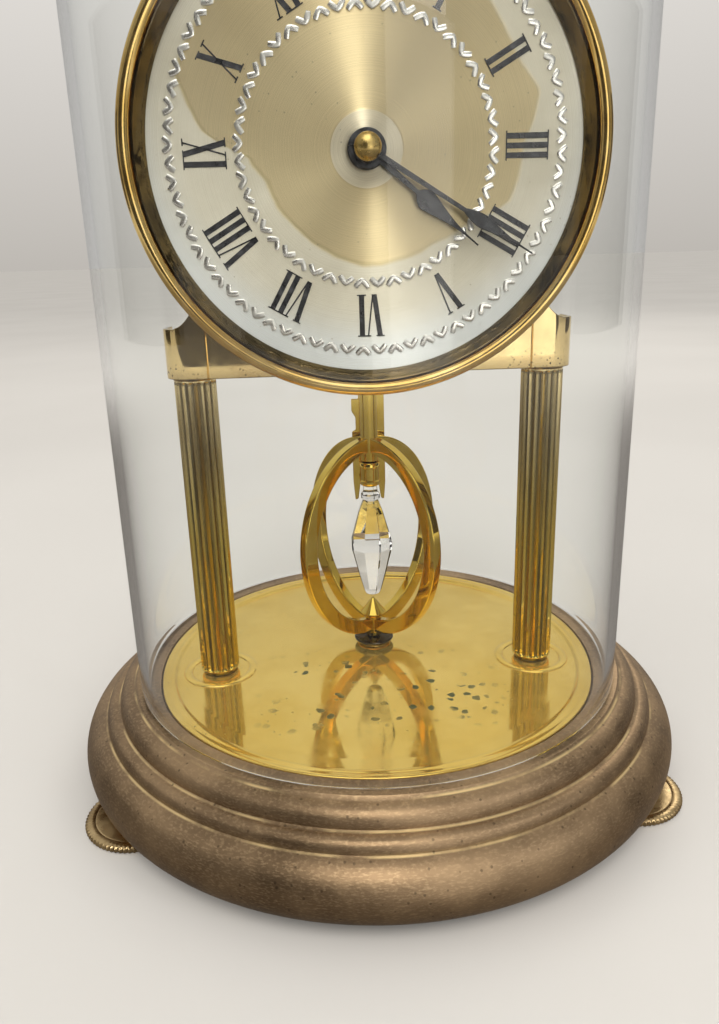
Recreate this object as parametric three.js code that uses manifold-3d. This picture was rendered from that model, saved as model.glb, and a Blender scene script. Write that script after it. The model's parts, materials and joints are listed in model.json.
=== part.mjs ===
// Quartz anniversary clock under a glass dome, with a slowly turning pendulum.
// Millimetres, +Z up, the dial faces -Y. The origin is under the middle of the bounding box, on the
// surface that the clock stands on. Everything is built around the dome's own axis, and one outer
// group then moves it by half of what the rear levelling foot sticks out behind the base.
import * as THREE from 'three';
import { mergeVertices } from 'three/addons/utils/BufferGeometryUtils.js';
import Module from 'manifold-3d';

const wasm = await Module();
wasm.setup();

// ---- Driving dimensions -------------------------------------------------------------------------
const GAP = 0.3;                    // left between neighbouring pieces

const DOME_R = 75;                  // outside radius of the glass
const DOME_WALL = 2.4;
const DOME_TOP = 311;               // overall height of the clock
const LEDGE_Z = 30;                 // the ring of the base that the dome stands on

const PLATE_R = 68.8;               // polished floor plate
const PLATE_TOP = 29;
const PLATE_THICK = 1.2;
const RIM_WIDTH = 4.6;

const TORUS = { r: 83, z: 11.5, rx: 10, rz: 9.6 };   // the big bottom roll of the base
const SHELL_WALL = 1.3;

const FOOT_RADIUS = 15.5;           // knurled levelling discs
const FOOT_THICK = 2.2;
const FOOT_CIRCLE = 82;             // radius of the circle that the three feet stand on
const FOOT_ANGLES = { left: -150, right: -30, rear: 90 };
const KNURLS = 30;

const COLUMN_X = 50;
const COLUMN_Y = -7;
const COLUMN_R = 6;
const FLUTES = 18;
const TIE_R = 1.6;                  // screw that runs up through each column

const BRACKET = { halfWidth: 57.5, front: -14, depth: 13, bottom: 122, wall: 1.3, corner: 6.5 };

const CENTRE_Z = 178.6;             // height of the dial's centre
const BEZEL_R = 61;
const BEZEL_FRONT = -25.2;
const DIAL_FRONT = -20;
const DIAL_THICK = 0.8;
const DIAL_R = 57;
const DIAL_SEEN_R = 54.6;           // inner edge of the bezel

const CASE = { halfWidth: 28, bottom: 147, top: 209, front: -12.4, joint: 1.6, back: 17.4, wall: 1.5 };
const BATTERY = { r: 7.2, length: 50.2, y: 10.4, z: 198 };    // an AA cell
const CANNON_MODULE = 0.9375;       // teeth of the cannon pinion and the minute wheel
const HOUR_MODULE = 1;              // teeth of the minute wheel's pinion and the hour wheel
const TRAIN_MODULE = 0.66;          // teeth of the wheels from the motor to the centre
const WHEEL_THICK = 0.8;

const HOUR_ANGLE = 130.2;           // twenty past four, clockwise from twelve
const MINUTE_ANGLE = 122;
const HOUR_LENGTH = 36.5;
const MINUTE_LENGTH = 49;

const PENDULUM_Y = 8;
const HOOP = { halfWidth: 28.8, top: 99.6, bottom: 33.4, thick: 4.8, deep: 3.2 };
const HOOP_ANGLE = 41;              // plan angle of the front-left hoop; the other one crosses it squarely
const ROD_R = 2.7;

// ---- Materials ----------------------------------------------------------------------------------
const metal = (color, roughness) => new THREE.MeshStandardMaterial({ color, roughness, metalness: 1 });
const plain = (color, roughness) => new THREE.MeshStandardMaterial({ color, roughness, metalness: 0 });

const polishedBrass = metal(0xd9a93c, 0.12);
const paleBrass = metal(0xc9b27a, 0.25);
const bronzeBrass = metal(0x8a6a45, 0.42);
const steel = metal(0xa9acb0, 0.35);
const darkSteel = metal(0x3a3836, 0.4);
const copper = metal(0xb5622e, 0.35);
const blackPaint = plain(0x141414, 0.35);
const blackPlastic = plain(0x1b1b1d, 0.5);
const whitePlastic = plain(0xe4e2da, 0.5);
const greenBoard = plain(0x1f5a35, 0.55);
const batterySleeve = plain(0x2c2c30, 0.35);
const dialSilver = metal(0xd6cfa8, 0.35);
const clear = (color, opacity) => (
  new THREE.MeshStandardMaterial({ color, roughness: 0.03, transparent: true, opacity })
);
const glass = clear(0xf2f6f5, 0.25);
const crystal = clear(0xffffff, 0.5);

// ---- Geometry helpers ---------------------------------------------------------------------------
const rad = THREE.MathUtils.degToRad;

// Merges shared corners, drops flat triangles and turns the faces outwards.
function closed(geometry) {
  const loose = geometry.index ? geometry.toNonIndexed() : geometry.clone();
  loose.deleteAttribute('normal');
  loose.deleteAttribute('uv');
  const merged = mergeVertices(loose, 1e-4);
  const position = merged.attributes.position;
  const corner = [new THREE.Vector3(), new THREE.Vector3(), new THREE.Vector3()];
  const kept = [];
  let volume = 0;
  for (let i = 0; i < merged.index.count; i += 3) {
    const ids = [0, 1, 2].map((k) => merged.index.getX(i + k));
    if (ids[0] === ids[1] || ids[1] === ids[2] || ids[2] === ids[0]) continue;
    ids.forEach((id, k) => corner[k].fromBufferAttribute(position, id));
    volume += corner[0].dot(corner[1].clone().cross(corner[2]));
    kept.push(ids);
  }
  const order = volume < 0 ? kept.map(([a, b, c]) => [a, c, b]) : kept;
  merged.setIndex(order.flat());
  return merged;
}

function toManifold(geometry) {
  const g = closed(geometry);
  return new wasm.Manifold(new wasm.Mesh({
    numProp: 3,
    vertProperties: Float32Array.from(g.attributes.position.array),
    triVerts: Uint32Array.from(g.index.array),
  }));
}

function fromManifold(solid) {
  const mesh = solid.getMesh();
  const geometry = new THREE.BufferGeometry();
  geometry.setAttribute('position', new THREE.Float32BufferAttribute(mesh.vertProperties, 3));
  geometry.setIndex(Array.from(mesh.triVerts));
  return geometry;
}

function join(first, ...others) {
  return fromManifold(others.reduce((sum, g) => sum.add(toManifold(g)), toManifold(first)));
}

function cut(first, ...tools) {
  return fromManifold(tools.reduce((rest, g) => rest.subtract(toManifold(g)), toManifold(first)));
}

function common(first, ...others) {
  return fromManifold(others.reduce((rest, g) => rest.intersect(toManifold(g)), toManifold(first)));
}

// A solid of revolution about Z from [radius, z] points.
function turned(points, segments) {
  const loop = [...points];
  const onAxis = points[0][0] === 0 && points[points.length - 1][0] === 0;
  if (!onAxis) loop.push(points[0]);
  const geometry = new THREE.LatheGeometry(loop.map(([r, z]) => new THREE.Vector2(r, z)), segments);
  return closed(geometry.rotateX(Math.PI / 2));
}

// The same about the line of the hands: [radius, y] points, with its axis along Y.
function turnedAcross(points, segments) {
  return closed(turned(points, segments).rotateX(-Math.PI / 2));
}

function cylinder(r, zLow, zHigh, segments = 20) {
  return turned([[0, zLow], [r, zLow], [r, zHigh], [0, zHigh]], segments);
}

function tube(inner, outer, zLow, zHigh, segments = 20) {
  return turned([[inner, zLow], [outer, zLow], [outer, zHigh], [inner, zHigh]], segments);
}

function spindle(r, yLow, yHigh, segments = 16) {
  return turnedAcross([[0, yLow], [r, yLow], [r, yHigh], [0, yHigh]], segments);
}

function box(x0, x1, y0, y1, z0, z1) {
  const geometry = new THREE.BoxGeometry(x1 - x0, y1 - y0, z1 - z0);
  return geometry.translate((x0 + x1) / 2, (y0 + y1) / 2, (z0 + z1) / 2);
}

function arc(centreR, centreZ, rx, rz, fromDeg, toDeg, steps) {
  return Array.from({ length: steps + 1 }, (_, i) => {
    const a = rad(fromDeg + ((toDeg - fromDeg) * i) / steps);
    return [centreR + rx * Math.cos(a), centreZ + rz * Math.sin(a)];
  });
}

// A shallow convex curve from p to q that stands out by rise in the middle.
function bulge(p, q, rise, steps) {
  const along = [q[0] - p[0], q[1] - p[1]];
  const length = Math.hypot(...along);
  const out = [-along[1] / length, along[0] / length];
  return Array.from({ length: steps + 1 }, (_, i) => {
    const t = i / steps;
    const h = 4 * rise * t * (1 - t);
    return [p[0] + along[0] * t + out[0] * h, p[1] + along[1] * t + out[1] * h];
  });
}

function shapeOf(points, holes = []) {
  const shape = new THREE.Shape(points.map(([x, y]) => new THREE.Vector2(x, y)));
  shape.holes = holes.map((hole) => new THREE.Path(hole.map(([x, y]) => new THREE.Vector2(x, y))));
  return shape;
}

function circle(r, segments, cx = 0, cy = 0) {
  return arc(cx, cy, r, r, 0, 360 - 360 / segments, segments - 1);
}

function extruded(points, zLow, zHigh, holes = []) {
  const options = { depth: zHigh - zLow, bevelEnabled: false };
  return closed(new THREE.ExtrudeGeometry(shapeOf(points, holes), options).translate(0, 0, zLow));
}

// A flat plate that stands upright: points are [x, z], and it fills yLow to yHigh.
function upright(points, yLow, yHigh, holes = []) {
  const flat = extruded(points, -yHigh, -yLow, holes);
  return closed(flat.rotateX(Math.PI / 2));
}

// ---- Base ---------------------------------------------------------------------------------------
function baseShell() {
  const shelfR = 62;
  const shelfZ = PLATE_TOP - PLATE_THICK - GAP;
  const pocketR = PLATE_R + 0.4;
  const outside = [
    [shelfR, shelfZ], [pocketR, shelfZ], [pocketR, LEDGE_Z], [76.2, LEDGE_Z],
    ...bulge([77.1, 29.2], [81.7, 24.5], 1.3, 3),
    ...bulge([82.3, 24.1], [85.9, 20.8], 1.1, 3),
    ...arc(TORUS.r, TORUS.z, TORUS.rx, TORUS.rz, 70, -58, 8),
    [87.6, 2.6],
  ];
  const inside = [
    [86.6, 2.6],
    ...arc(TORUS.r, TORUS.z, TORUS.rx - SHELL_WALL, TORUS.rz - SHELL_WALL, -62, 60, 4),
    [84.4, 19.5], [76.2, 27.6], [pocketR + SHELL_WALL, 28.6],
    [pocketR + SHELL_WALL, shelfZ - SHELL_WALL], [shelfR, shelfZ - SHELL_WALL],
  ];
  return turned([...outside, ...inside], 48);
}

function floorPlate() {
  const bottom = PLATE_TOP - PLATE_THICK;
  const disc = turned([
    [0, bottom], [PLATE_R, bottom], [PLATE_R, LEDGE_Z], [PLATE_R - RIM_WIDTH + 0.6, LEDGE_Z],
    [PLATE_R - RIM_WIDTH, PLATE_TOP], [0, PLATE_TOP],
  ], 48);
  const holes = [-COLUMN_X, COLUMN_X].map((x) => (
    cylinder(TIE_R + 0.4, bottom - 1, PLATE_TOP + 1).translate(x, COLUMN_Y, 0)
  ));
  return cut(disc, ...holes);
}

const BUSH_R = 4;
const BUSH_BORE = 2.4;
const BOTTOM_PLATE_Z = 3.4;

function footPlace(name) {
  const a = rad(FOOT_ANGLES[name]);
  return new THREE.Vector3(FOOT_CIRCLE * Math.cos(a), FOOT_CIRCLE * Math.sin(a), 0);
}

function bottomPlate() {
  const disc = cylinder(86, BOTTOM_PLATE_Z, BOTTOM_PLATE_Z + 1.4, 48);
  const holes = Object.keys(FOOT_ANGLES).map((name) => {
    const p = footPlace(name);
    return cylinder(BUSH_R + GAP, 2, 8, 16).translate(p.x, p.y, 0);
  });
  return cut(disc, ...holes);
}

// A flanged bush, pressed into the bottom plate, that the foot's stud screws into.
function footBush() {
  const flangeZ = BOTTOM_PLATE_Z + 1.4 + GAP;
  return turned([
    [BUSH_BORE, BOTTOM_PLATE_Z], [BUSH_R, BOTTOM_PLATE_Z], [BUSH_R, flangeZ],
    [5.4, flangeZ], [5.4, flangeZ + 1.2], [BUSH_R, flangeZ + 1.2], [BUSH_R, 10], [BUSH_BORE, 10],
  ], 12);
}

// A knurled disc turned in one piece with its threaded stud.
function levellingFoot() {
  const rim = Array.from({ length: KNURLS * 2 }, (_, i) => {
    const a = (i / (KNURLS * 2)) * 2 * Math.PI;
    const r = i % 2 ? FOOT_RADIUS : FOOT_RADIUS - 0.7;
    return [r * Math.cos(a), r * Math.sin(a)];
  });
  return join(extruded(rim, 0, FOOT_THICK), cylinder(2, 1, 13, 12));
}

// A low cup under the pendulum that its lower end is centred over when the clock stands level.
function guideCup() {
  const floor = PLATE_TOP + GAP;
  return turned([[2, floor], [5.4, floor], [5.4, floor + 0.4], [4.6, floor + 0.9], [2, floor + 0.9]], 24);
}

// ---- Columns and bracket ------------------------------------------------------------------------
function column() {
  const outline = Array.from({ length: FLUTES * 4 }, (_, i) => {
    const a = (i / (FLUTES * 4)) * 2 * Math.PI;
    const r = i % 4 === 0 ? COLUMN_R - 0.7 : COLUMN_R - (i % 4 === 2 ? 0 : 0.15);
    return [r * Math.cos(a), r * Math.sin(a)];
  });
  return extruded(outline, PLATE_TOP + GAP, BRACKET.bottom - GAP, [circle(TIE_R + 0.4, 10)]);
}

function tieScrew() {
  const headTop = PLATE_TOP - PLATE_THICK - GAP;
  return turned([
    [0, headTop - 2.2], [3.3, headTop - 2.2], [3.3, headTop], [TIE_R, headTop],
    [TIE_R, BRACKET.bottom + 5.2], [0, BRACKET.bottom + 5.2],
  ], 12);
}

function hexNut(acrossCorners, bore, zLow, zHigh) {
  return extruded(circle(acrossCorners, 6), zLow, zHigh, [circle(bore, 12)]);
}

// The outline of the bracket's bent strip, seen from above: a shallow U with rounded front corners.
function bracketStrip(inset) {
  const w = BRACKET.halfWidth - inset;
  const front = BRACKET.front + inset;
  const back = BRACKET.front + BRACKET.depth;
  const r = BRACKET.corner - inset;
  return [
    [-w, back], ...arc(-w + r, front + r, r, r, 180, 270, 5),
    ...arc(w - r, front + r, r, r, -90, 0, 5), [w, back],
  ];
}

const TONGUE = { halfWidth: 30, top: 207 };

function bracket() {
  const outer = bracketStrip(0);
  const inner = bracketStrip(BRACKET.wall).reverse();
  const strip = extruded([...outer, ...inner], BRACKET.bottom, TONGUE.top);
  const scoop = bulge([53.6, 136], [48.7, 139.8], -0.9, 4);
  const rightSide = [[58, 121], [58, 135.7], ...scoop, [44, 146], [TONGUE.halfWidth, 152]];
  const half = [...rightSide, [TONGUE.halfWidth, TONGUE.top + 1]];
  const mirrored = half.map(([x, z]) => [-x, z]).reverse();
  const face = upright([...half, ...mirrored], BRACKET.front - 1, BRACKET.front + BRACKET.depth + 1);
  const flangeOutline = bracketStrip(BRACKET.wall - 0.1);
  const flange = extruded(flangeOutline, BRACKET.bottom, BRACKET.bottom + BRACKET.wall);
  const clearance = box(-32, 32, BRACKET.front + BRACKET.wall + 0.2, 1, 100, 141);
  const tieHoles = [-COLUMN_X, COLUMN_X].map((x) => (
    cylinder(TIE_R + 0.4, 110, 130, 12).translate(x, COLUMN_Y, 0)
  ));
  const centreHole = spindle(5, -20, 0).translate(0, 0, CENTRE_Z);
  return cut(join(common(strip, face), flange), clearance, ...tieHoles, centreHole);
}

// ---- Dial, bezel and hands ----------------------------------------------------------------------
const BUSHING = { inner: 2.8, outer: 3.9 };      // threaded neck of the movement

function dialPlate() {
  const back = DIAL_FRONT + DIAL_THICK;
  return turnedAcross([[4.3, DIAL_FRONT], [DIAL_R, DIAL_FRONT], [DIAL_R, back], [4.3, back]], 48);
}

function dialSpacer() {
  const front = DIAL_FRONT + DIAL_THICK + GAP;
  const back = BRACKET.front - GAP;
  return turnedAcross([[4.4, front], [12, front], [12, back], [4.4, back]], 24);
}

function bezel() {
  const lip = DIAL_FRONT - GAP;
  const back = BRACKET.front - GAP * 2;
  return turnedAcross([
    [DIAL_SEEN_R, lip], [57.4, BEZEL_FRONT + 0.8], [58.4, BEZEL_FRONT + 0.1], [59.4, BEZEL_FRONT],
    [60.4, BEZEL_FRONT + 0.6], [BEZEL_R, BEZEL_FRONT + 1.9], [BEZEL_R, back],
    [DIAL_R + 0.4, back], [DIAL_R + 0.4, lip],
  ], 48);
}

// The round nut that holds the dial and the bracket against the movement.
function mountingNut() {
  const bore = BUSHING.outer + GAP;
  const back = DIAL_FRONT - GAP;
  const front = back - 1.4;
  return turnedAcross([[bore, front], [4.6, front], [4.9, front + 0.3], [4.9, back], [bore, back]], 28);
}

// A hand that points to twelve: a round hub, a thin stem and a leaf, as an [x, z] outline.
function handOutline(hubR, stem, leafFrom, leafWidest, leafHalf, length) {
  const rightSide = [
    ...arc(0, 0, hubR, hubR, -90, 78, 7), [stem, leafFrom], [leafHalf * 0.8, (leafFrom + leafWidest) / 2],
    [leafHalf, leafWidest], [leafHalf * 0.75, leafWidest + (length - leafWidest) * 0.25],
    [leafHalf * 0.32, leafWidest + (length - leafWidest) * 0.6], [0.22, length],
  ];
  const leftSide = rightSide.slice(1).map(([x, z]) => [-x, z]).reverse();
  return [...rightSide, ...leftSide];
}

const HOUR_PLANE = -23;
const MINUTE_PLANE = -24.7;
const HAND_THICK = 0.5;

function hourHand() {
  const outline = handOutline(4.7, 0.5, 16.2, 19.3, 2.6, HOUR_LENGTH);
  return upright(outline, HOUR_PLANE, HOUR_PLANE + HAND_THICK, [circle(2.75, 14)]);
}

function minuteHand() {
  const outline = handOutline(3.6, 0.5, 28.5, 34, 1.7, MINUTE_LENGTH);
  return upright(outline, MINUTE_PLANE, MINUTE_PLANE + HAND_THICK, [circle(1.8, 12)]);
}

// A domed cap nut, blind on the outside, that holds the minute hand on the cannon pinion.
function handNut() {
  const seat = MINUTE_PLANE - GAP;
  return turnedAcross([
    [1.8, seat], [3.4, seat], [3.4, seat - 1], [2.9, seat - 2.1], [1.7, seat - 2.9], [0, seat - 3.2],
    [0, seat - 1.9], [1.8, seat - 1.9],
  ], 20);
}

// ---- Wheels -------------------------------------------------------------------------------------
// A toothed disc in the XZ plane. The first tooth points along +X, turned by phase degrees.
function gear(teeth, module, yLow, bore, phase = 0) {
  const pitchR = (teeth * module) / 2;
  const tipR = pitchR + module * 0.85;
  const rootR = pitchR - module * 1.15;
  const step = 360 / teeth;
  const outline = [];
  for (let i = 0; i < teeth; i += 1) {
    const middle = phase + i * step;
    for (const [r, share] of [[rootR, -0.24], [tipR, -0.09], [tipR, 0.09], [rootR, 0.24]]) {
      const a = rad(middle + share * step);
      outline.push([r * Math.cos(a), r * Math.sin(a)]);
    }
  }
  const holes = bore > 0 ? [circle(bore, 12)] : [];
  return upright(outline, yLow, yLow + WHEEL_THICK, holes);
}

// The phase that sets a gap of a wheel on the line where its neighbour has a tooth.
function meshedPhase(teeth, lineDeg) {
  return lineDeg + 180 + 180 / teeth;
}

const HOUR_WHEEL = { teeth: 24, y: -10.6 };
const CANNON = { teeth: 8, y: -9 };
const MINUTE_WHEEL = { teeth: 24, pinion: 6, angle: -45 };
const MOTION_DISTANCE = (CANNON_MODULE * (CANNON.teeth + MINUTE_WHEEL.teeth)) / 2;

const TRAIN_WHEEL_TEETH = 24;
const TRAIN_PINION_TEETH = 6;
const TRAIN_DISTANCE = (TRAIN_MODULE * (TRAIN_WHEEL_TEETH + TRAIN_PINION_TEETH)) / 2;
const CENTRE_WHEEL_Y = -7.4;
const THIRD_ANGLE = 205;            // direction from each wheel's centre to the next one's
const FOURTH_ANGLE = 120;
const ROTOR_ANGLE = 100;
const PLANE_STEP = 1.6;

function stepFrom([x, z], distance, angle) {
  return [x + distance * Math.cos(rad(angle)), z + distance * Math.sin(rad(angle))];
}

const centreAxis = [0, CENTRE_Z];
const minuteWheelAxis = stepFrom(centreAxis, MOTION_DISTANCE, MINUTE_WHEEL.angle);
const thirdAxis = stepFrom(centreAxis, TRAIN_DISTANCE, THIRD_ANGLE);
const fourthAxis = stepFrom(thirdAxis, TRAIN_DISTANCE, FOURTH_ANGLE);
const rotorAxis = stepFrom(fourthAxis, TRAIN_DISTANCE, ROTOR_ANGLE);

function hourWheel() {
  const wheel = gear(HOUR_WHEEL.teeth, HOUR_MODULE, HOUR_WHEEL.y, 1.8, MINUTE_WHEEL.angle);
  const pipe = turnedAcross([[1.8, -23.4], [2.5, -23.4], [2.5, -10], [1.8, -10]], 16);
  return cut(join(wheel, pipe), spindle(1.8, -24, -9, 16));
}

function cannonPinion() {
  const leaves = gear(CANNON.teeth, CANNON_MODULE, CANNON.y, 0, MINUTE_WHEEL.angle);
  return join(spindle(1.5, -26.6, -6.4), leaves);
}

function minuteWheel() {
  const wheelPhase = meshedPhase(MINUTE_WHEEL.teeth, MINUTE_WHEEL.angle);
  const pinionPhase = meshedPhase(MINUTE_WHEEL.pinion, MINUTE_WHEEL.angle);
  const wheel = gear(MINUTE_WHEEL.teeth, CANNON_MODULE, CANNON.y, 0, wheelPhase);
  const pinion = gear(MINUTE_WHEEL.pinion, HOUR_MODULE, HOUR_WHEEL.y, 0, pinionPhase);
  return join(spindle(1, -10.5, 21), wheel, pinion, spindle(1.8, -10, -8.6));
}

function setKnob() {
  const grip = Array.from({ length: 40 }, (_, i) => {
    const a = (i / 40) * 2 * Math.PI;
    const r = i % 2 ? 6 : 5.6;
    return [r * Math.cos(a), r * Math.sin(a)];
  });
  return upright(grip, CASE.back + 0.8, CASE.back + 4.8, [circle(1.3, 12)]);
}

function centreWheel() {
  return gear(TRAIN_WHEEL_TEETH, TRAIN_MODULE, CENTRE_WHEEL_Y, 1.8, THIRD_ANGLE);
}

// A wheel of the train with its own pinion one plane in front of it.
function trainWheel(pinionY, fromAngle, toAngle) {
  const pinionPhase = meshedPhase(TRAIN_PINION_TEETH, fromAngle);
  const pinion = gear(TRAIN_PINION_TEETH, TRAIN_MODULE, pinionY, 0, pinionPhase);
  const wheel = gear(TRAIN_WHEEL_TEETH, TRAIN_MODULE, pinionY + PLANE_STEP, 0, toAngle);
  return join(spindle(0.8, pinionY - 0.6, pinionY + PLANE_STEP + 2, 10), pinion, wheel);
}

function rotor() {
  const y = CENTRE_WHEEL_Y + PLANE_STEP * 2;
  const phase = meshedPhase(TRAIN_PINION_TEETH, ROTOR_ANGLE);
  const pinion = gear(TRAIN_PINION_TEETH, TRAIN_MODULE, y, 0, phase);
  return join(spindle(0.6, y - 1, 0.4, 10), pinion, spindle(3, -2.6, -0.2));
}

// ---- Movement -----------------------------------------------------------------------------------
function caseFront() {
  const { halfWidth: w, bottom, top, front, joint, wall } = CASE;
  const body = box(-w, w, front, joint, bottom, top);
  const hollow = box(-w + wall, w - wall, front + wall, joint + 1, bottom + wall, top - wall);
  const neck = spindle(BUSHING.outer, -22, front + 0.5, 20).translate(0, 0, CENTRE_Z);
  const bore = spindle(BUSHING.inner, -23, front + wall + 1, 16).translate(0, 0, CENTRE_Z);
  return cut(join(cut(body, hollow), neck), bore);
}

function caseBack() {
  const { halfWidth: w, bottom, top, joint, back, wall } = CASE;
  const front = joint + GAP;
  const body = box(-w, w, front, back, bottom, top);
  const hollow = box(-w + wall, w - wall, front - 1, back - wall, bottom + wall, top - wall);
  const pocketLow = BATTERY.z - BATTERY.r - 0.5;
  const pocketHigh = BATTERY.z + BATTERY.r + 0.5;
  const tray = box(-w + 0.5, w - 0.5, front, back - 0.5, pocketLow - 1.1, pocketHigh + 1.1);
  const pocket = box(-w + wall, w - wall, front + 1, back + 1, pocketLow, pocketHigh);
  const rodHole = cylinder(4, bottom - 1, bottom + wall + 1).translate(0, PENDULUM_Y, 0);
  const arborHole = spindle(1.4, back - 3, back + 1).translate(minuteWheelAxis[0], 0, minuteWheelAxis[1]);
  return cut(join(cut(body, hollow), tray), pocket, rodHole, arborHole);
}

function trainBridge() {
  const points = [[-25, 162], [25, 162], [25, 188], [-2, 188], [-2, 181], [-8, 181], [-8, 188], [-25, 188]];
  const bore = circle(1.4, 12, ...minuteWheelAxis);
  return upright(points, 0.6, 1.4, [bore]);
}

function battery() {
  const half = BATTERY.length / 2;
  const can = turned([
    [0, -half], [BATTERY.r - 0.5, -half], [BATTERY.r, -half + 0.6], [BATTERY.r, half - 2],
    [BATTERY.r - 0.6, half - 1.4], [2.7, half - 1.4], [2.7, half], [0, half],
  ], 20);
  return closed(can.rotateY(Math.PI / 2).translate(0, BATTERY.y, BATTERY.z));
}

function batteryContact(side) {
  const inner = BATTERY.length / 2 + 0.3;
  const low = Math.min(side * inner, side * (inner + 0.9));
  const high = Math.max(side * inner, side * (inner + 0.9));
  return box(low, high, 5, 15, BATTERY.z - 5, BATTERY.z + 5);
}

function circuitBoard() {
  return box(2, 25, -0.9, 0.1, 189, 197);
}

function quartzCan() {
  const can = cylinder(1.4, 6, 14, 12).rotateY(Math.PI / 2);
  return closed(can.translate(0, -2.7, 192));
}

function stator() {
  const points = [[-22, 187], [-10, 187], [-10, 199], [14, 199], [14, 204], [-22, 204]];
  return upright(points, -2.2, -1.4, [circle(3.4, 16, ...rotorAxis)]);
}

function motorCoil() {
  const bobbin = turned([
    [0, -10], [3.6, -10], [3.6, -9], [2.8, -9], [2.8, 9], [3.6, 9], [3.6, 10], [0, 10],
  ], 16);
  return closed(bobbin.rotateY(Math.PI / 2).translate(2, -6.3, 202));
}

// ---- Pendulum -----------------------------------------------------------------------------------
const DRIVE_Z = 151;
const STRIP = { halfWidth: 5.15, front: 3.6, thick: 1.2, bottom: 84, top: 140 };

function pendulumRod() {
  return cylinder(ROD_R, 91.8, DRIVE_Z - GAP);
}

function driveMagnet() {
  return cylinder(5.4, DRIVE_Z, DRIVE_Z + 3.2);
}

function driveCoil() {
  const coil = turned([
    [1.2, 9], [5, 9], [5, 10], [4, 10], [4, 19], [5, 19], [5, 20], [1.2, 20],
  ], 16);
  return closed(coil.rotateY(Math.PI / 2).translate(0, PENDULUM_Y, 155));
}

// The thin strip that the pendulum hangs from and that twists as it turns.
function suspensionStrip() {
  return box(-0.8, 0.8, PENDULUM_Y - 0.15, PENDULUM_Y + 0.15, DRIVE_Z + 3.5, 168);
}

function suspensionBlock() {
  return box(-5, 5, PENDULUM_Y - 4, CASE.back - CASE.wall - GAP, 168 + GAP, 172.5);
}

// A flat carrier behind the rod. Its lower end forks around the top of the crystal, and its left
// edge has the two notches of the transport catch.
function hangerStrip() {
  const w = STRIP.halfWidth;
  const points = [
    [-w, STRIP.bottom], [-w + 0.5, 78], [-w + 1.5, 78.4], [-w + 2.3, STRIP.bottom],
    [w - 2.3, STRIP.bottom], [w - 1.5, 78.4], [w - 0.5, 78], [w, STRIP.bottom],
    [w, STRIP.top], [-w, STRIP.top], [-w, 112.6], [-w + 2.2, 112.6], [-w + 2.2, 110.8],
    [-w, 110.8], [-w, 107], [-w + 1.2, 105], [-w + 1.2, 101], [-w, 100.4],
  ];
  return upright(points, STRIP.front, STRIP.front + STRIP.thick);
}

function ferrule() {
  return turned([[0, 84], [3, 84], [3.2, 84.4], [3.2, 91.1], [3, 91.5], [0, 91.5]], 20);
}

function crystalDrop() {
  return turned([
    [0, 47], [1.5, 47], [5.2, 57], [7, 65], [4.2, 75], [2.4, 78.4], [3, 80.6], [2.4, 83.7], [0, 83.7],
  ], 8);
}

// The full band of one hoop, standing in the plane at the given plan angle.
function hoopBand(angle) {
  const middle = (HOOP.top + HOOP.bottom) / 2;
  const halfHeight = (HOOP.top - HOOP.bottom) / 2;
  const steps = 40;
  const outer = arc(0, middle, HOOP.halfWidth, halfHeight, 0, 360 - 360 / steps, steps - 1);
  const inner = arc(0, middle, HOOP.halfWidth - HOOP.thick, halfHeight - HOOP.thick,
    0, 360 - 360 / steps, steps - 1);
  return closed(upright(outer, -HOOP.deep / 2, HOOP.deep / 2, [inner]).rotateZ(rad(angle)));
}

// One quarter of the crossed hoops: the arm on one side of the rod, mitred where the four meet.
function hoopArm(front, right) {
  const turn = front === right ? HOOP_ANGLE - 90 : HOOP_ANGLE;
  const sector = [[0.15, 0.15], [60, 0.15], [60, 60], [0.15, 60]].map(([x, y]) => (
    [right ? x : -x, front ? -y : y]
  ));
  const ordered = front === right ? sector.reverse() : sector;
  const quarter = extruded(ordered, 0, 120);
  const rodHole = cylinder(ROD_R + GAP, 85, 110, 16);
  const stripSide = STRIP.halfWidth + GAP;
  const stripBack = STRIP.front + STRIP.thick + GAP;
  const stripHole = box(-stripSide, stripSide, -1, stripBack, 80, 110);
  const postHole = cylinder(2.9, 20, 45, 16);
  return cut(common(hoopBand(turn), quarter), rodHole, postHole, ...(front ? [] : [stripHole]));
}

function finial() {
  return turned([[0, 39.3], [3.4, 39.3], [4.1, 39.8], [4.1, 40.3], [0.3, 45.2], [0, 45.3]], 20);
}

function pendulumPost() {
  return cylinder(2.6, 31.8, 39, 16);
}

function baseDisc() {
  return turned([[0, 30.5], [6.2, 30.5], [6.5, 30.8], [6.5, 31.2], [6.2, 31.5], [0, 31.5]], 24);
}

// ---- Dome ---------------------------------------------------------------------------------------
function dome() {
  const bottom = LEDGE_Z + GAP;
  const shoulder = DOME_TOP - DOME_R;
  const innerR = DOME_R - DOME_WALL;
  const outside = arc(0, shoulder, DOME_R, DOME_R, 0, 90, 7);
  const inside = arc(0, shoulder, innerR, innerR, 90, 0, 7);
  outside[outside.length - 1][0] = 0;
  inside[0][0] = 0;
  const profile = [[0, DOME_TOP], ...outside.slice(0, -1).reverse(), [DOME_R, bottom],
    [innerR, bottom], ...inside.slice(1).reverse(), [0, DOME_TOP - DOME_WALL]];
  return turned(profile, 40);
}

// ---- Assembly -----------------------------------------------------------------------------------
const clock = new THREE.Group();

function add(parent, name, geometry, material) {
  const mesh = new THREE.Mesh(geometry, material.clone());
  mesh.name = name;
  parent.add(mesh);
  return mesh;
}

function groupAt(parent, x, y, z) {
  const group = new THREE.Group();
  group.position.set(x, y, z);
  parent.add(group);
  return group;
}

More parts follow.
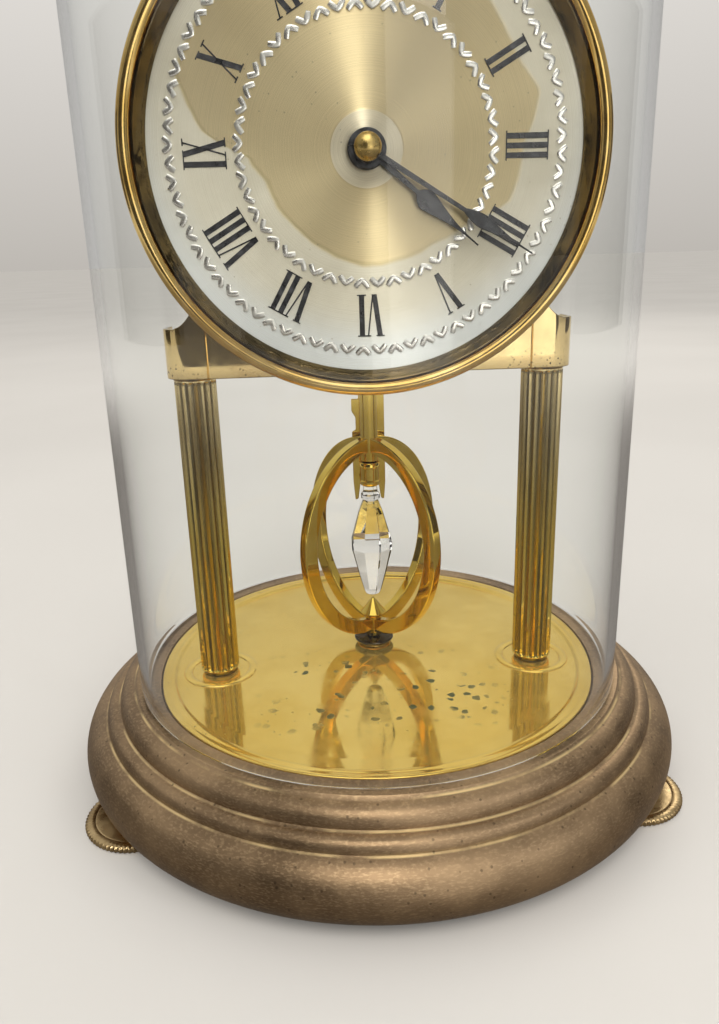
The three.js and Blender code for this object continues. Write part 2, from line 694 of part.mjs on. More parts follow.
add(clock, 'base_shell', baseShell(), bronzeBrass);
add(clock, 'floor_plate', floorPlate(), polishedBrass);
add(clock, 'bottom_plate', bottomPlate(), darkSteel);
add(clock, 'glass_dome', dome(), glass);

for (const name of Object.keys(FOOT_ANGLES)) {
  const place = footPlace(name);
  const corner = groupAt(clock, place.x, place.y, 0);
  add(corner, `levelling_foot_${name}`, levellingFoot(), polishedBrass);
  add(corner, `foot_bush_${name}`, footBush(), steel);
}

for (const [name, x] of [['left', -COLUMN_X], ['right', COLUMN_X]]) {
  const post = groupAt(clock, x, COLUMN_Y, 0);
  add(post, `column_${name}`, column(), polishedBrass);
  add(post, `tie_screw_${name}`, tieScrew(), steel);
  const nutLow = BRACKET.bottom + BRACKET.wall + GAP;
  add(post, `column_nut_${name}`, hexNut(3.4, TIE_R + 0.3, nutLow, nutLow + 2.4), steel);
}

add(clock, 'bracket', bracket(), paleBrass);

const face = groupAt(clock, 0, 0, CENTRE_Z);
add(face, 'dial_spacer', dialSpacer(), blackPlastic);
add(face, 'dial_plate', dialPlate(), dialSilver);
add(face, 'bezel', bezel(), polishedBrass);
add(face, 'mounting_nut', mountingNut(), blackPaint);
add(face, 'hour_hand', hourHand(), blackPaint).rotation.y = rad(HOUR_ANGLE);
add(face, 'minute_hand', minuteHand(), blackPaint).rotation.y = rad(MINUTE_ANGLE);
add(face, 'hand_nut', handNut(), polishedBrass);
add(face, 'cannon_pinion', cannonPinion(), steel);
add(face, 'hour_wheel', hourWheel(), whitePlastic);
add(face, 'centre_wheel', centreWheel(), whitePlastic);

const minuteArbor = groupAt(clock, minuteWheelAxis[0], 0, minuteWheelAxis[1]);
add(minuteArbor, 'minute_wheel', minuteWheel(), whitePlastic);
add(minuteArbor, 'set_knob', setKnob(), whitePlastic);
add(groupAt(clock, thirdAxis[0], 0, thirdAxis[1]), 'third_wheel',
  trainWheel(CENTRE_WHEEL_Y, THIRD_ANGLE, FOURTH_ANGLE), whitePlastic);
add(groupAt(clock, fourthAxis[0], 0, fourthAxis[1]), 'fourth_wheel',
  trainWheel(CENTRE_WHEEL_Y + PLANE_STEP, FOURTH_ANGLE, ROTOR_ANGLE), whitePlastic);
add(groupAt(clock, rotorAxis[0], 0, rotorAxis[1]), 'motor_rotor', rotor(), darkSteel);

add(clock, 'movement_case_front', caseFront(), blackPlastic);
add(clock, 'movement_case_back', caseBack(), blackPlastic);
add(clock, 'train_bridge', trainBridge(), whitePlastic);
add(clock, 'battery', battery(), batterySleeve);
add(clock, 'battery_contact_minus', batteryContact(-1), steel);
add(clock, 'battery_contact_plus', batteryContact(1), steel);
add(clock, 'circuit_board', circuitBoard(), greenBoard);
add(clock, 'quartz_can', quartzCan(), steel);
add(clock, 'motor_stator', stator(), steel);
add(clock, 'motor_coil', motorCoil(), copper);
add(clock, 'drive_coil', driveCoil(), copper);
add(clock, 'suspension_block', suspensionBlock(), steel);
add(clock, 'suspension_strip', suspensionStrip(), steel);
add(clock, 'guide_cup', guideCup().translate(0, PENDULUM_Y, 0), polishedBrass);

const pendulum = groupAt(clock, 0, PENDULUM_Y, 0);
add(pendulum, 'pendulum_rod', pendulumRod(), polishedBrass);
add(pendulum, 'hanger_strip', hangerStrip(), polishedBrass);
add(pendulum, 'drive_magnet', driveMagnet(), darkSteel);
add(pendulum, 'crystal_ferrule', ferrule(), polishedBrass);
add(pendulum, 'crystal_drop', crystalDrop(), crystal);
add(pendulum, 'hoop_arm_front_left', hoopArm(true, false), polishedBrass);
add(pendulum, 'hoop_arm_front_right', hoopArm(true, true), polishedBrass);
add(pendulum, 'hoop_arm_rear_left', hoopArm(false, false), polishedBrass);
add(pendulum, 'hoop_arm_rear_right', hoopArm(false, true), polishedBrass);
add(pendulum, 'finial', finial(), polishedBrass);
add(pendulum, 'pendulum_post', pendulumPost(), polishedBrass);
add(pendulum, 'pendulum_base_disc', baseDisc(), darkSteel);

// The rear foot is the only thing that reaches past the base, so the box's middle is behind the axis.
const baseRadius = TORUS.r + TORUS.rx;
const footReach = FOOT_CIRCLE + FOOT_RADIUS;
clock.position.y = -(footReach - baseRadius) / 2;

const model = new THREE.Group();
model.add(clock);
export default model;
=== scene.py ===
"""Anniversary clock under a glass dome: the looks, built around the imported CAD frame.

Shapes are worked out in millimetres around the dome's own axis, with z = 0 on the table, and go out in
metres. The dial faces -y. Directions on the dial are clockwise degrees from twelve.
"""

import json
import math
from functools import reduce

import bmesh
import bpy
from mathutils import Matrix, Vector

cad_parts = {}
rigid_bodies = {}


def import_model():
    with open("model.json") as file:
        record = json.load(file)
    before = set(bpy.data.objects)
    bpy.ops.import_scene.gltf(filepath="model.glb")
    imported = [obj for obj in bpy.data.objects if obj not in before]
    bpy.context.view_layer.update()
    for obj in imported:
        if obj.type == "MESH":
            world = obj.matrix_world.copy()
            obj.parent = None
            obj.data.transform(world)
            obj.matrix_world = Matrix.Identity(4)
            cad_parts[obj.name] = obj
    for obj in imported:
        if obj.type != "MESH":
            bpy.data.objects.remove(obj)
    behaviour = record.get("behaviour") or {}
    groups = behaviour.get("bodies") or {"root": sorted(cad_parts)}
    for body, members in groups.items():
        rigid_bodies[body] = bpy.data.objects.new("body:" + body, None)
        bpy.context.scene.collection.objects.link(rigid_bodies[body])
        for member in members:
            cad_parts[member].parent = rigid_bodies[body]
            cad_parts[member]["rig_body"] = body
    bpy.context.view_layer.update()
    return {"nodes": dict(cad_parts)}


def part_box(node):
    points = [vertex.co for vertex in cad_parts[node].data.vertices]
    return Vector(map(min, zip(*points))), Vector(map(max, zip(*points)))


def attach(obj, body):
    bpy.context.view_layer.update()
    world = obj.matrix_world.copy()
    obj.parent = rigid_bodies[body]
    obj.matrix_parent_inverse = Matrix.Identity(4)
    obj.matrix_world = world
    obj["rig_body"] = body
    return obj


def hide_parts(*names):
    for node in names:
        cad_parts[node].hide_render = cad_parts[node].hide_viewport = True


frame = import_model()

MM = 0.001


# ---- Places and sizes, from the frame ----
def size_of(node):
    """Lowest and highest corner of a CAD node in clock millimetres."""
    low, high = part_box(node)
    shift = Vector((AXIS.x, AXIS.y, 0.0))
    return (low - shift) / MM, (high - shift) / MM


dome_low, dome_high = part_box("glass_dome")
AXIS = (dome_low + dome_high) / 2
DOME_LOW, DOME_HIGH = size_of("glass_dome")
BASE_LOW, BASE_HIGH = size_of("base_shell")
PLATE_LOW, PLATE_HIGH = size_of("floor_plate")
BEZEL_LOW, BEZEL_HIGH = size_of("bezel")
DIAL_LOW, DIAL_HIGH = size_of("dial_plate")
COLUMN_LOW, COLUMN_HIGH = size_of("column_right")
BRACKET_LOW, BRACKET_HIGH = size_of("bracket")
ROD_LOW, ROD_HIGH = size_of("pendulum_rod")
STRIP_LOW, STRIP_HIGH = size_of("hanger_strip")

DOME_R = DOME_HIGH.x
DOME_WALL = 2.4
BASE_R = BASE_HIGH.x
LEDGE_Z = BASE_HIGH.z
PLATE_R = PLATE_HIGH.x
PLATE_Z = LEDGE_Z - 1.0
COLUMN_X = (COLUMN_LOW.x + COLUMN_HIGH.x) / 2
COLUMN_Y = (COLUMN_LOW.y + COLUMN_HIGH.y) / 2
COLUMN_R = (COLUMN_HIGH.y - COLUMN_LOW.y) / 2
CENTRE_Z = (BEZEL_LOW.z + BEZEL_HIGH.z) / 2
BEZEL_R = (BEZEL_HIGH.z - BEZEL_LOW.z) / 2
DIAL_Y = DIAL_LOW.y
PENDULUM_Y = (ROD_LOW.y + ROD_HIGH.y) / 2
ROD_R = (ROD_HIGH.x - ROD_LOW.x) / 2
CRYSTAL_TOP = size_of("crystal_drop")[1].z

FLUTES = 18
FLUTE_DEPTH = 0.75
FLUTE_STEPS = 10
FLUTE_END = 1.1                 # the height over which a flute runs out
FLUTE_SHARE = 0.97              # the part of its pitch that a flute takes up
HOUR_ANGLE = 130.2
MINUTE_ANGLE = 122.0
RIDGES = ((77.0, 0.5), (82.1, 0.45), (86.2, 0.5))     # the base's ridges, rubbed and given a painted highlight: radius, half width
HOOP_ANGLE = 41.0                # plan angle of the front-left hoop; the other crosses it squarely
HOOP = {"half_width": 28.8, "top": 99.6, "bottom": 33.4, "thick": 4.8, "deep": 3.2}


# ---- Camera ----
CAMERA_PLACE = Vector((-11.48, -238.49, 152.57))
CAMERA_TURN, CAMERA_TILT, CAMERA_ROLL = -1.821, 17.515, -1.721     # degrees
LENS = 28.18


def place_camera():
    """A close view, a little left of centre and looking down."""
    turn, tilt, roll = (math.radians(a) for a in (CAMERA_TURN, CAMERA_TILT, CAMERA_ROLL))
    back = Vector((math.sin(turn) * math.cos(tilt), -math.cos(turn) * math.cos(tilt), math.sin(tilt)))
    right = (-back).cross(Vector((0, 0, 1))).normalized()
    up = right.cross(-back)
    rolled_right = right * math.cos(roll) + up * math.sin(roll)
    rolled_up = up * math.cos(roll) - right * math.sin(roll)
    camera = bpy.data.objects.new("camera", bpy.data.cameras.new("camera"))
    bpy.context.scene.collection.objects.link(camera)
    pose = Matrix((rolled_right, rolled_up, back)).transposed().to_4x4()
    pose.translation = Vector((AXIS.x, AXIS.y, 0)) + CAMERA_PLACE * MM
    camera.matrix_world = pose
    camera.data.sensor_width = 36.0
    camera.data.lens = LENS
    camera.data.clip_start = 0.005
    bpy.context.scene.camera = camera
    bpy.context.scene.view_settings.view_transform = "Standard"


place_camera()


# ---- Mesh helpers ----
def row_point(x, y, z):
    """A clock-millimetre point in the row frame's metres."""
    return (AXIS.x + x * MM, AXIS.y + y * MM, z * MM)


def add_piece(name, verts, faces, body, material, replaces=(), smooth=35.0):
    """A mesh piece from clock-millimetre points, riding on a body."""
    mesh = bpy.data.meshes.new(name)
    mesh.from_pydata([row_point(*v) for v in verts], [], faces)
    return dress(name, mesh, body, material, replaces, smooth)


def dress(name, mesh, body, material, replaces=(), smooth=35.0):
    """A finished piece: its mesh cleaned and shaded, and attached to its body."""
    tidy = bmesh.new()
    tidy.from_mesh(mesh)
    bmesh.ops.remove_doubles(tidy, verts=tidy.verts, dist=1e-7)
    bmesh.ops.dissolve_degenerate(tidy, edges=tidy.edges, dist=1e-8)
    bmesh.ops.recalc_face_normals(tidy, faces=tidy.faces)
    tidy.to_mesh(mesh)
    tidy.free()
    mesh.materials.clear()
    mesh.materials.append(material)
    if smooth:
        mesh.shade_smooth()
        mesh.set_sharp_from_angle(angle=math.radians(smooth))
    piece = bpy.data.objects.new(name, mesh)
    bpy.context.scene.collection.objects.link(piece)
    if smooth:
        level = piece.modifiers.new("level_shading", "WEIGHTED_NORMAL")   # flat faces stay flat mirrors
        level.keep_sharp = True
    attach(piece, body)
    if replaces:
        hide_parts(*replaces)
    return piece


def arc(cr, cz, rx, rz, start, stop, steps):
    """Points along an ellipse about (cr, cz), from start to stop in degrees."""
    points = []
    for i in range(steps + 1):
        a = math.radians(start + (stop - start) * i / steps)
        points.append((cr + rx * math.cos(a), cz + rz * math.sin(a)))
    return points


def bulge(p, q, rise, steps):
    """A shallow curve from p to q standing out by rise in the middle."""
    dx, dz = q[0] - p[0], q[1] - p[1]
    length = math.hypot(dx, dz)
    points = []
    for i in range(steps + 1):
        t = i / steps
        h = 4 * rise * t * (1 - t)
        points.append((p[0] + dx * t - dz / length * h, p[1] + dz * t + dx / length * h))
    return points


def eased(points, radius, steps=3, loop=True):
    """The same outline with its corners rounded to at most radius."""
    out = []
    count = len(points)
    for i, p in enumerate(points):
        if not loop and i in (0, count - 1):
            out.append(p)
            continue
        a, b = Vector(points[i - 1]), Vector(points[(i + 1) % count])
        v = Vector(p)
        ra = (a - v)
        rb = (b - v)
        cut = min(radius, ra.length * 0.45, rb.length * 0.45)
        start, stop = v + ra.normalized() * cut, v + rb.normalized() * cut
        for k in range(steps + 1):
            t = k / steps
            out.append(tuple(start * (1 - t) ** 2 + v * 2 * t * (1 - t) + stop * t * t))
    return out


def turned(profile, segments, centre=(0.0, 0.0), across=False):
    """Vertices and faces of a solid of revolution. A profile with both ends on the axis is a spindle,
    any other is a ring. The axis is z at centre (x, y), or with across the y axis at (x, z)."""
    spindle = profile[0][0] < 1e-6 and profile[-1][0] < 1e-6
    verts, rings = [], []
    for r, h in profile:
        ring = []
        for s in range(1 if r < 1e-6 else segments):
            a = 2 * math.pi * s / segments
            u, v = r * math.cos(a), r * math.sin(a)
            point = (centre[0] + u, h, centre[1] + v) if across else (centre[0] + u, centre[1] + v, h)
            ring.append(len(verts))
            verts.append(point)
        rings.append(ring)
    faces = []
    pairs = list(zip(rings, rings[1:])) + ([] if spindle else [(rings[-1], rings[0])])
    for low, high in pairs:
        for s in range(segments):
            t = (s + 1) % segments
            quad = [low[s % len(low)], low[t % len(low)], high[t % len(high)], high[s % len(high)]]
            unique = list(dict.fromkeys(quad))
            if len(unique) > 2:
                faces.append(unique)
    return verts, faces


def plate_mesh(name, loops, thickness, bevel=0.0):
    """A flat plate in x and y, filled from closed outlines and their holes, its middle at z = 0."""
    curve = bpy.data.curves.new(name, "CURVE")
    curve.dimensions = "2D"
    curve.fill_mode = "BOTH"
    curve.extrude = max(thickness / 2 - bevel, 1e-4)
    curve.bevel_depth = bevel
    curve.bevel_resolution = 2
    curve.offset = -bevel
    for loop in loops:
        spline = curve.splines.new("POLY")
        spline.points.add(len(loop) - 1)
        for point, (x, y) in zip(spline.points, loop):
            point.co = (x, y, 0, 1)
        spline.use_cyclic_u = True
    holder = bpy.data.objects.new(name, curve)
    bpy.context.scene.collection.objects.link(holder)
    evaluated = holder.evaluated_get(bpy.context.evaluated_depsgraph_get())
    mesh = bpy.data.meshes.new_from_object(evaluated)
    bpy.data.objects.remove(holder)
    bpy.data.curves.remove(curve)
    return mesh


def to_row(matrix):
    """From clock millimetres, after matrix, to the row frame."""
    return Matrix.Translation((AXIS.x, AXIS.y, 0)) @ Matrix.Scale(MM, 4) @ matrix


FACING = Matrix.Rotation(math.radians(90), 4, "X")      # a flat plate stood up to face -y


def upright(name, loops, y_front, thickness, body, material, replaces=(), bevel=0.0,
            at=(0.0, 0.0), turn=0.0, smooth=35.0):
    """A plate whose outline is [x, z] points, standing with its front at y_front."""
    mesh = plate_mesh(name, loops, thickness, bevel)
    spot = Matrix.Translation((at[0], y_front + thickness / 2, at[1]))
    spin = Matrix.Rotation(math.radians(turn), 4, "Y")
    mesh.transform(to_row(spot @ spin @ FACING))
    return dress(name, mesh, body, material, replaces, smooth)


def circle(r, steps, cx=0.0, cy=0.0):
    return arc(cx, cy, r, r, 0, 360 - 360 / steps, steps - 1)


# ---- Material helpers ----
class Nodes:
    """A node tree that is filled by calls."""

    def __init__(self, tree):
        self.tree = tree

    def node(self, kind, inputs=(), **settings):
        made = self.tree.nodes.new(kind)
        for key, value in settings.items():
            setattr(made, key, value)
        for key, value in dict(inputs).items():
            self.feed(made.inputs[key], value)
        return made

    def feed(self, socket, value):
        if isinstance(value, bpy.types.NodeSocket):
            self.tree.links.new(value, socket)
        else:
            socket.default_value = value

    def in_mirrors(self):
        """One where polished metal looks, and nothing where the eye or glass does."""
        glossy_depth = self.node("ShaderNodeLightPath").outputs["Glossy Depth"]
        return self.node("ShaderNodeMath", {0: glossy_depth, 1: 0.5}, operation="GREATER_THAN").outputs[0]


# The frame's material slot of each material here that isn't named after it.
SLOT = {
    "bracket_brass": "pale_brass", "chevron_silver": "dial_silver",
    "cell_film": "battery_sleeve", "copper_winding": "copper",
    **dict.fromkeys(("pendulum_brass", "floor_plate_brass", "column_brass", "bezel_brass", "hand_nut_brass"),
                    "polished_brass"),
}


class Paint(Nodes):
    """A procedural material. Its coordinates are the piece's own, in metres."""

    def __init__(self, name, color, metallic=0.0, roughness=0.5, **sockets):
        self.material = bpy.data.materials.new(name)
        self.material.use_nodes = True
        super().__init__(self.material.node_tree)
        self.shader = self.tree.nodes["Principled BSDF"]
        self.shader.inputs["Base Color"].default_value = (*color, 1)
        self.shader.inputs["Metallic"].default_value = metallic
        self.shader.inputs["Roughness"].default_value = roughness
        for socket, value in sockets.items():
            self.shader.inputs[socket.replace("_", " ")].default_value = value
        self.place = self.node("ShaderNodeTexCoord").outputs["Object"]

    def moved(self, offset=(0, 0, 0), scale=(1, 1, 1)):
        """The place measured from a point in the row frame, then scaled."""
        shift = self.node("ShaderNodeVectorMath", {0: self.place, 1: tuple(-c for c in offset)})
        sized = self.node("ShaderNodeVectorMath", {0: shift.outputs[0], 1: scale}, operation="MULTIPLY")
        return sized.outputs[0]

    def noise(self, scale, detail=3.0, place=None, roughness=0.5):
        inputs = {"Vector": place or self.place, "Scale": scale, "Detail": detail, "Roughness": roughness}
        return self.node("ShaderNodeTexNoise", inputs).outputs["Fac"]

    def lines(self, value, stretch, scale, detail):
        """Noise that changes with one value only."""
        place = self.node("ShaderNodeCombineXYZ", {0: self.times(value, stretch)}).outputs[0]
        return self.noise(scale, detail, place)

    def dots(self, scale, low, high, strength=1.0):
        """Round dots of a given strength, with soft edges from low to high in cell sizes."""
        return self.band(self.cells(scale), low, high, strength, 0.0)

    def cells(self, scale):
        inputs = {"Vector": self.place, "Scale": scale}
        return self.node("ShaderNodeTexVoronoi", inputs).outputs["Distance"]

    def math(self, operation, a, b=0.0):
        return self.node("ShaderNodeMath", {0: a, 1: b}, operation=operation).outputs[0]

    def plus(self, a, b):
        return self.math("ADD", a, b)

    def minus(self, a, b):
        return self.math("SUBTRACT", a, b)

    def apart(self, a, b):
        return self.math("ABSOLUTE", self.minus(a, b))

    def times(self, *values):
        return reduce(lambda a, b: self.math("MULTIPLY", a, b), values)

    def length(self, a, b):
        return self.math("SQRT", self.plus(self.times(a, a), self.times(b, b)))

    def band(self, value, low, high, out_low=0.0, out_high=1.0):
        """Value from low to high, moved smoothly to out_low to out_high."""
        inputs = {"Value": value, 1: low, 2: high, 3: out_low, 4: out_high}
        return self.node("ShaderNodeMapRange", inputs, interpolation_type="SMOOTHSTEP").outputs[0]

    def mix(self, factor, a, b):
        made = self.node("ShaderNodeMix", data_type="RGBA")
        self.feed(made.inputs[0], factor)
        for socket, value in ((made.inputs[6], a), (made.inputs[7], b)):
            self.feed(socket, (*value, 1) if isinstance(value, tuple) else value)
        return made.outputs[2]

    def split(self, place=None):
        return self.node("ShaderNodeSeparateXYZ", {0: place or self.place}).outputs

    def blend(self, factor, a, b):
        """Makes the surface shader a, or b where the factor is one."""
        made = self.node("ShaderNodeMixShader", {0: factor, 1: a, 2: b})
        self.feed(self.tree.nodes["Material Output"].inputs["Surface"], made.outputs[0])

    def color(self, value):
        self.feed(self.shader.inputs["Base Color"], value)

    def rough(self, value):
        self.feed(self.shader.inputs["Roughness"], value)

    def bump(self, height, distance, strength=1.0):
        """Adds relief of a height texture; distance is in metres."""
        made = self.node("ShaderNodeBump", {"Height": height, "Distance": distance, "Strength": strength})
        before = self.shader.inputs["Normal"]
        if before.is_linked:
            self.feed(made.inputs["Normal"], before.links[0].from_socket)
        self.feed(before, made.outputs[0])


CENTRE_LINE = (AXIS.x, AXIS.y, 0)
DIAL_CENTRE = (AXIS.x, AXIS.y, CENTRE_Z * MM)


def radius_from(paint, centre, flat="XY"):
    """Distance in metres from a vertical axis (XY) or from an axis along y (XZ)."""
    x, y, z = paint.split(paint.moved(centre))[:3]
    return paint.length(x, y if flat == "XY" else z)


# ---- Materials ----
def polished_brass(name, light=(0.86, 0.58, 0.17), deep=(0.66, 0.40, 0.08), dullness=0.07):
    paint = Paint(name, light, 1.0, dullness)
    cloud = paint.noise(90, 4)
    paint.color(paint.mix(paint.band(cloud, 0.35, 0.7), light, deep))
    smear = paint.noise(260, 5, roughness=0.6)
    paint.rough(paint.band(smear, 0.3, 0.8, dullness * 0.7, dullness * 2.2))
    paint.bump(paint.noise(400, 2), 0.00002, 0.35)
    return paint.material


def base_bronze():
    """Aged and grainy, bright along the ridges, partly rubbed by hands and partly a painted highlight."""
    dark, warm, bright = (0.22, 0.147, 0.084), (0.46, 0.320, 0.185), (0.92, 0.70, 0.36)
    paint = Paint("bronze_brass", warm, 1.0, 0.4)
    r = radius_from(paint, CENTRE_LINE)
    patina = paint.noise(28, 6, roughness=0.65)
    grain = paint.noise(900, 3, paint.moved(scale=(1, 1, 3)))
    color = paint.mix(paint.band(patina, 0.3, 0.72), dark, warm)
    color = paint.mix(paint.band(grain, 0.45, 0.75, 0.0, 0.55), color, (0.60, 0.43, 0.25))
    # Bright brass along the ridges: partly rubbed by hands, partly a painted highlight.
    ridges = [paint.band(paint.apart(r, ridge * MM), 0.0, half * MM, 1.0, 0.0) for ridge, half in RIDGES]
    rubbed_and_lit = reduce(lambda a, b: paint.math("MAXIMUM", a, b), ridges)
    patchy = paint.band(paint.noise(70, 5), 0.38, 0.62)
    color = paint.mix(paint.times(rubbed_and_lit, patchy), color, bright)
    paint.color(paint.mix(paint.dots(330, 0.06, 0.16, 0.55), color, (0.07, 0.05, 0.035)))
    paint.rough(paint.band(patina, 0.25, 0.75, 0.36, 0.52))
    paint.bump(paint.lines(r, 60.0, 60, 2), 0.00005, 0.25)
    paint.bump(grain, 0.00008, 0.5)
    return paint.material


def plate_brass():
    """Bright lacquered brass with a haze and a belt of corroded specks across its front half."""
    light, deep, speck = (0.98, 0.71, 0.20), (0.87, 0.59, 0.12), (0.13, 0.14, 0.06)
    paint = Paint("floor_plate_brass", light, 0.88, 0.06)
    x, y = paint.split(paint.moved(CENTRE_LINE))[:2]
    color = paint.mix(paint.band(paint.noise(24, 5, roughness=0.6), 0.35, 0.7), light, deep)
    belt = paint.times(paint.band(y, 0.004, -0.012), paint.band(y, -0.05, -0.036))
    belt = paint.times(belt, paint.band(paint.apart(x, 0.0), 0.040, 0.024))
    clumps = paint.band(paint.noise(85, 3), 0.40, 0.52)
    ragged = paint.plus(paint.cells(240), paint.times(paint.noise(520, 3), 0.5))
    specks = paint.times(paint.band(ragged, 0.49, 0.57, 1.0, 0.0), clumps, belt)
    scattered = paint.times(paint.dots(430, 0.1, 0.16, 0.5), paint.band(paint.noise(45, 2), 0.5, 0.6))
    marks = paint.math("MAXIMUM", specks, scattered)
    paint.color(paint.mix(marks, color, speck))
    smudge = paint.band(paint.noise(160, 5), 0.3, 0.75, 0.03, 0.17)
    paint.rough(paint.plus(smudge, paint.times(marks, 0.4)))
    paint.bump(paint.noise(35, 2), 0.00015, 0.2)
    return paint.material


def column_brass():
    """Golden near the plate, partly its own colour and partly a painted reflection; aged above; painted shade
    in the flutes.
    """
    paint = Paint("column_brass", (0.85, 0.6, 0.22), 1.0, 0.1)
    x, y, z = paint.split(paint.moved((AXIS.x, AXIS.y + COLUMN_Y * MM, 0)))[:3]
    from_axis = paint.length(paint.minus(paint.apart(x, 0.0), COLUMN_X * MM), y)
    streak = paint.noise(420, 4, paint.moved(scale=(1, 1, 0.06)))
    height = paint.plus(z, paint.times(streak, 0.03))
    # Near the plate the brass is painted bright gold: partly its own colour, partly a painted reflection of
    # the plate.
    golden_and_reflected = paint.mix(paint.band(streak, 0.35, 0.65), (0.98, 0.76, 0.17), (0.84, 0.58, 0.10))
    aged = paint.mix(paint.band(streak, 0.4, 0.62), (0.78, 0.66, 0.40), (0.36, 0.29, 0.16))
    color = paint.mix(paint.times(paint.band(height, 0.08, 0.125), 0.85), golden_and_reflected, aged)
    deepest = (COLUMN_R - FLUTE_DEPTH * 0.95) * MM
    halfway = (COLUMN_R - FLUTE_DEPTH * 0.5) * MM
    sunk = paint.band(from_axis, deepest, halfway, 1.0, 0.0)
    # Painted shade along the bottoms of the flutes, uneven with the streaks.
    flute_shade = paint.times(sunk, paint.band(streak, 0.3, 0.6, 0.95, 0.6))
    paint.color(paint.mix(flute_shade, color, (0.045, 0.035, 0.018)))
    paint.rough(paint.plus(paint.band(streak, 0.3, 0.7, 0.05, 0.12), paint.times(flute_shade, 0.3)))
    return paint.material


def bracket_brass():
    """Pale polished brass, pitted along its lower edge."""
    light = (0.84, 0.66, 0.32)
    paint = Paint("bracket_brass", light, 1.0, 0.13)
    low = BRACKET_LOW.z * MM
    edge = paint.band(paint.split()[2], low, low + 0.008, 1.0, 0.0)
    color = paint.mix(paint.band(paint.noise(60, 4), 0.35, 0.7), light, (0.68, 0.50, 0.24))
    color = paint.mix(paint.times(edge, 0.25), color, (0.55, 0.38, 0.16))
    patch = paint.band(paint.noise(130, 3), 0.42, 0.58)
    pits = paint.times(paint.dots(900, 0.18, 0.3), patch, edge)
    paint.color(paint.mix(pits, color, (0.10, 0.08, 0.05)))
    paint.rough(paint.band(paint.noise(240, 4), 0.3, 0.75, 0.03, 0.1))
    paint.bump(paint.noise(55, 2), 0.0001, 0.2)
    return paint.material


# Where the dial's champagne middle ends: clockwise degrees from twelve, and the radius there in mm.
CHAMPAGNE_EDGE = (
    (0, 47), (45, 44), (62, 42.5), (74, 44.5), (90, 39), (110, 38.5), (124, 32), (145, 28), (180, 27.5),
    (218, 26.6), (255, 26.5), (268, 29), (277, 40), (292, 49), (330, 49), (360, 47),
)
EDGE_SCALE = 60


def edge_radius(paint, angle):
    """The champagne area's edge in metres, for an angle in radians."""
    turn = paint.math("FRACT", paint.plus(paint.math("DIVIDE", angle, 2 * math.pi), 1.0))
    ramp = paint.node("ShaderNodeValToRGB", {0: turn})
    stops = ramp.color_ramp.elements
    while len(stops) < len(CHAMPAGNE_EDGE):
        stops.new(0.5)
    for stop, (degrees, radius) in zip(stops, CHAMPAGNE_EDGE):
        stop.position = degrees / 360
        stop.color = (*(radius / EDGE_SCALE,) * 3, 1)
    return paint.times(ramp.outputs[0], EDGE_SCALE * MM)


def dial_paint():
    """Brushed round and round, champagne in the middle and paler where the lacquer has gone."""
    paint = Paint("dial_silver", (0.6, 0.55, 0.42), 0.9, 0.4, Anisotropic=1.0, Anisotropic_Rotation=0.25)
    tangent = paint.node("ShaderNodeTangent", direction_type="RADIAL", axis="Y").outputs[0]
    paint.feed(paint.shader.inputs["Tangent"], tangent)
    x, y, z = paint.split(paint.moved(DIAL_CENTRE))[:3]
    r = radius_from(paint, DIAL_CENTRE, "XZ")
    brushed = paint.lines(r, 5200.0, 1.0, 3)
    wander = paint.times(paint.minus(paint.noise(60, 4), 0.5), 0.004)
    beyond = paint.minus(paint.plus(r, wander), edge_radius(paint, paint.math("ARCTAN2", x, z)))
    face = paint.band(y, (DIAL_Y + 0.2) * MM, (DIAL_Y + 0.4) * MM, 1.0, 0.0)
    champagne = paint.times(paint.band(beyond, -0.0007, 0.0009, 1.0, 0.0), face)
    brown_edge = paint.band(paint.apart(beyond, 0.0), 0.0, 0.0011, 0.5, 0.0)
    lower_left = paint.times(paint.band(paint.plus(x, z), 0.01, -0.02), face)

    gold = paint.mix(paint.band(paint.noise(35, 4), 0.35, 0.7), (0.71, 0.585, 0.345), (0.79, 0.66, 0.395))
    scuffs = paint.band(paint.noise(42, 5), 0.35, 0.68)
    scuffed = paint.mix(scuffs, (0.56, 0.525, 0.42), (0.68, 0.645, 0.535))
    rim = paint.band(paint.minus(r, paint.times(z, 0.25)), 0.046, 0.064)
    pale = paint.mix(rim, scuffed, (0.67, 0.70, 0.70))
    color = paint.mix(champagne, pale, gold)
    color = paint.mix(paint.times(brown_edge, lower_left), color, (0.50, 0.40, 0.18))
    middle = paint.band(r, 0.0089, 0.0092, 1.0, 0.0)
    color = paint.mix(paint.times(middle, 0.8), color, (0.87, 0.80, 0.63))
    flecks = paint.times(paint.dots(420, 0.05, 0.12), paint.band(paint.noise(50, 2), 0.5, 0.6), 0.6)
    color = paint.mix(flecks, color, (0.30, 0.26, 0.18))
    paint.color(paint.mix(paint.band(brushed, 0.35, 0.65, 0.0, 0.3), color, (0.36, 0.31, 0.20)))
    paint.feed(paint.shader.inputs["Metallic"], paint.band(champagne, 0.0, 1.0, 0.5, 0.96))
    paint.rough(paint.band(brushed, 0.3, 0.7, 0.38, 0.46))
    paint.bump(brushed, 0.00002, 0.5)
    grooves = paint.math("SINE", paint.times(r, 2 * math.pi / 0.0011))
    paint.bump(paint.times(grooves, middle), 0.00003, 0.35)
    return paint.material


def black_enamel():
    paint = Paint("black_paint", (0.02, 0.02, 0.022), 0.0, 0.32)
    wear = paint.noise(500, 4)
    paint.color(paint.mix(paint.band(wear, 0.5, 0.75), (0.012, 0.012, 0.014), (0.045, 0.045, 0.05)))
    paint.rough(paint.band(wear, 0.3, 0.7, 0.25, 0.42))
    paint.bump(wear, 0.000006, 0.2)
    return paint.material


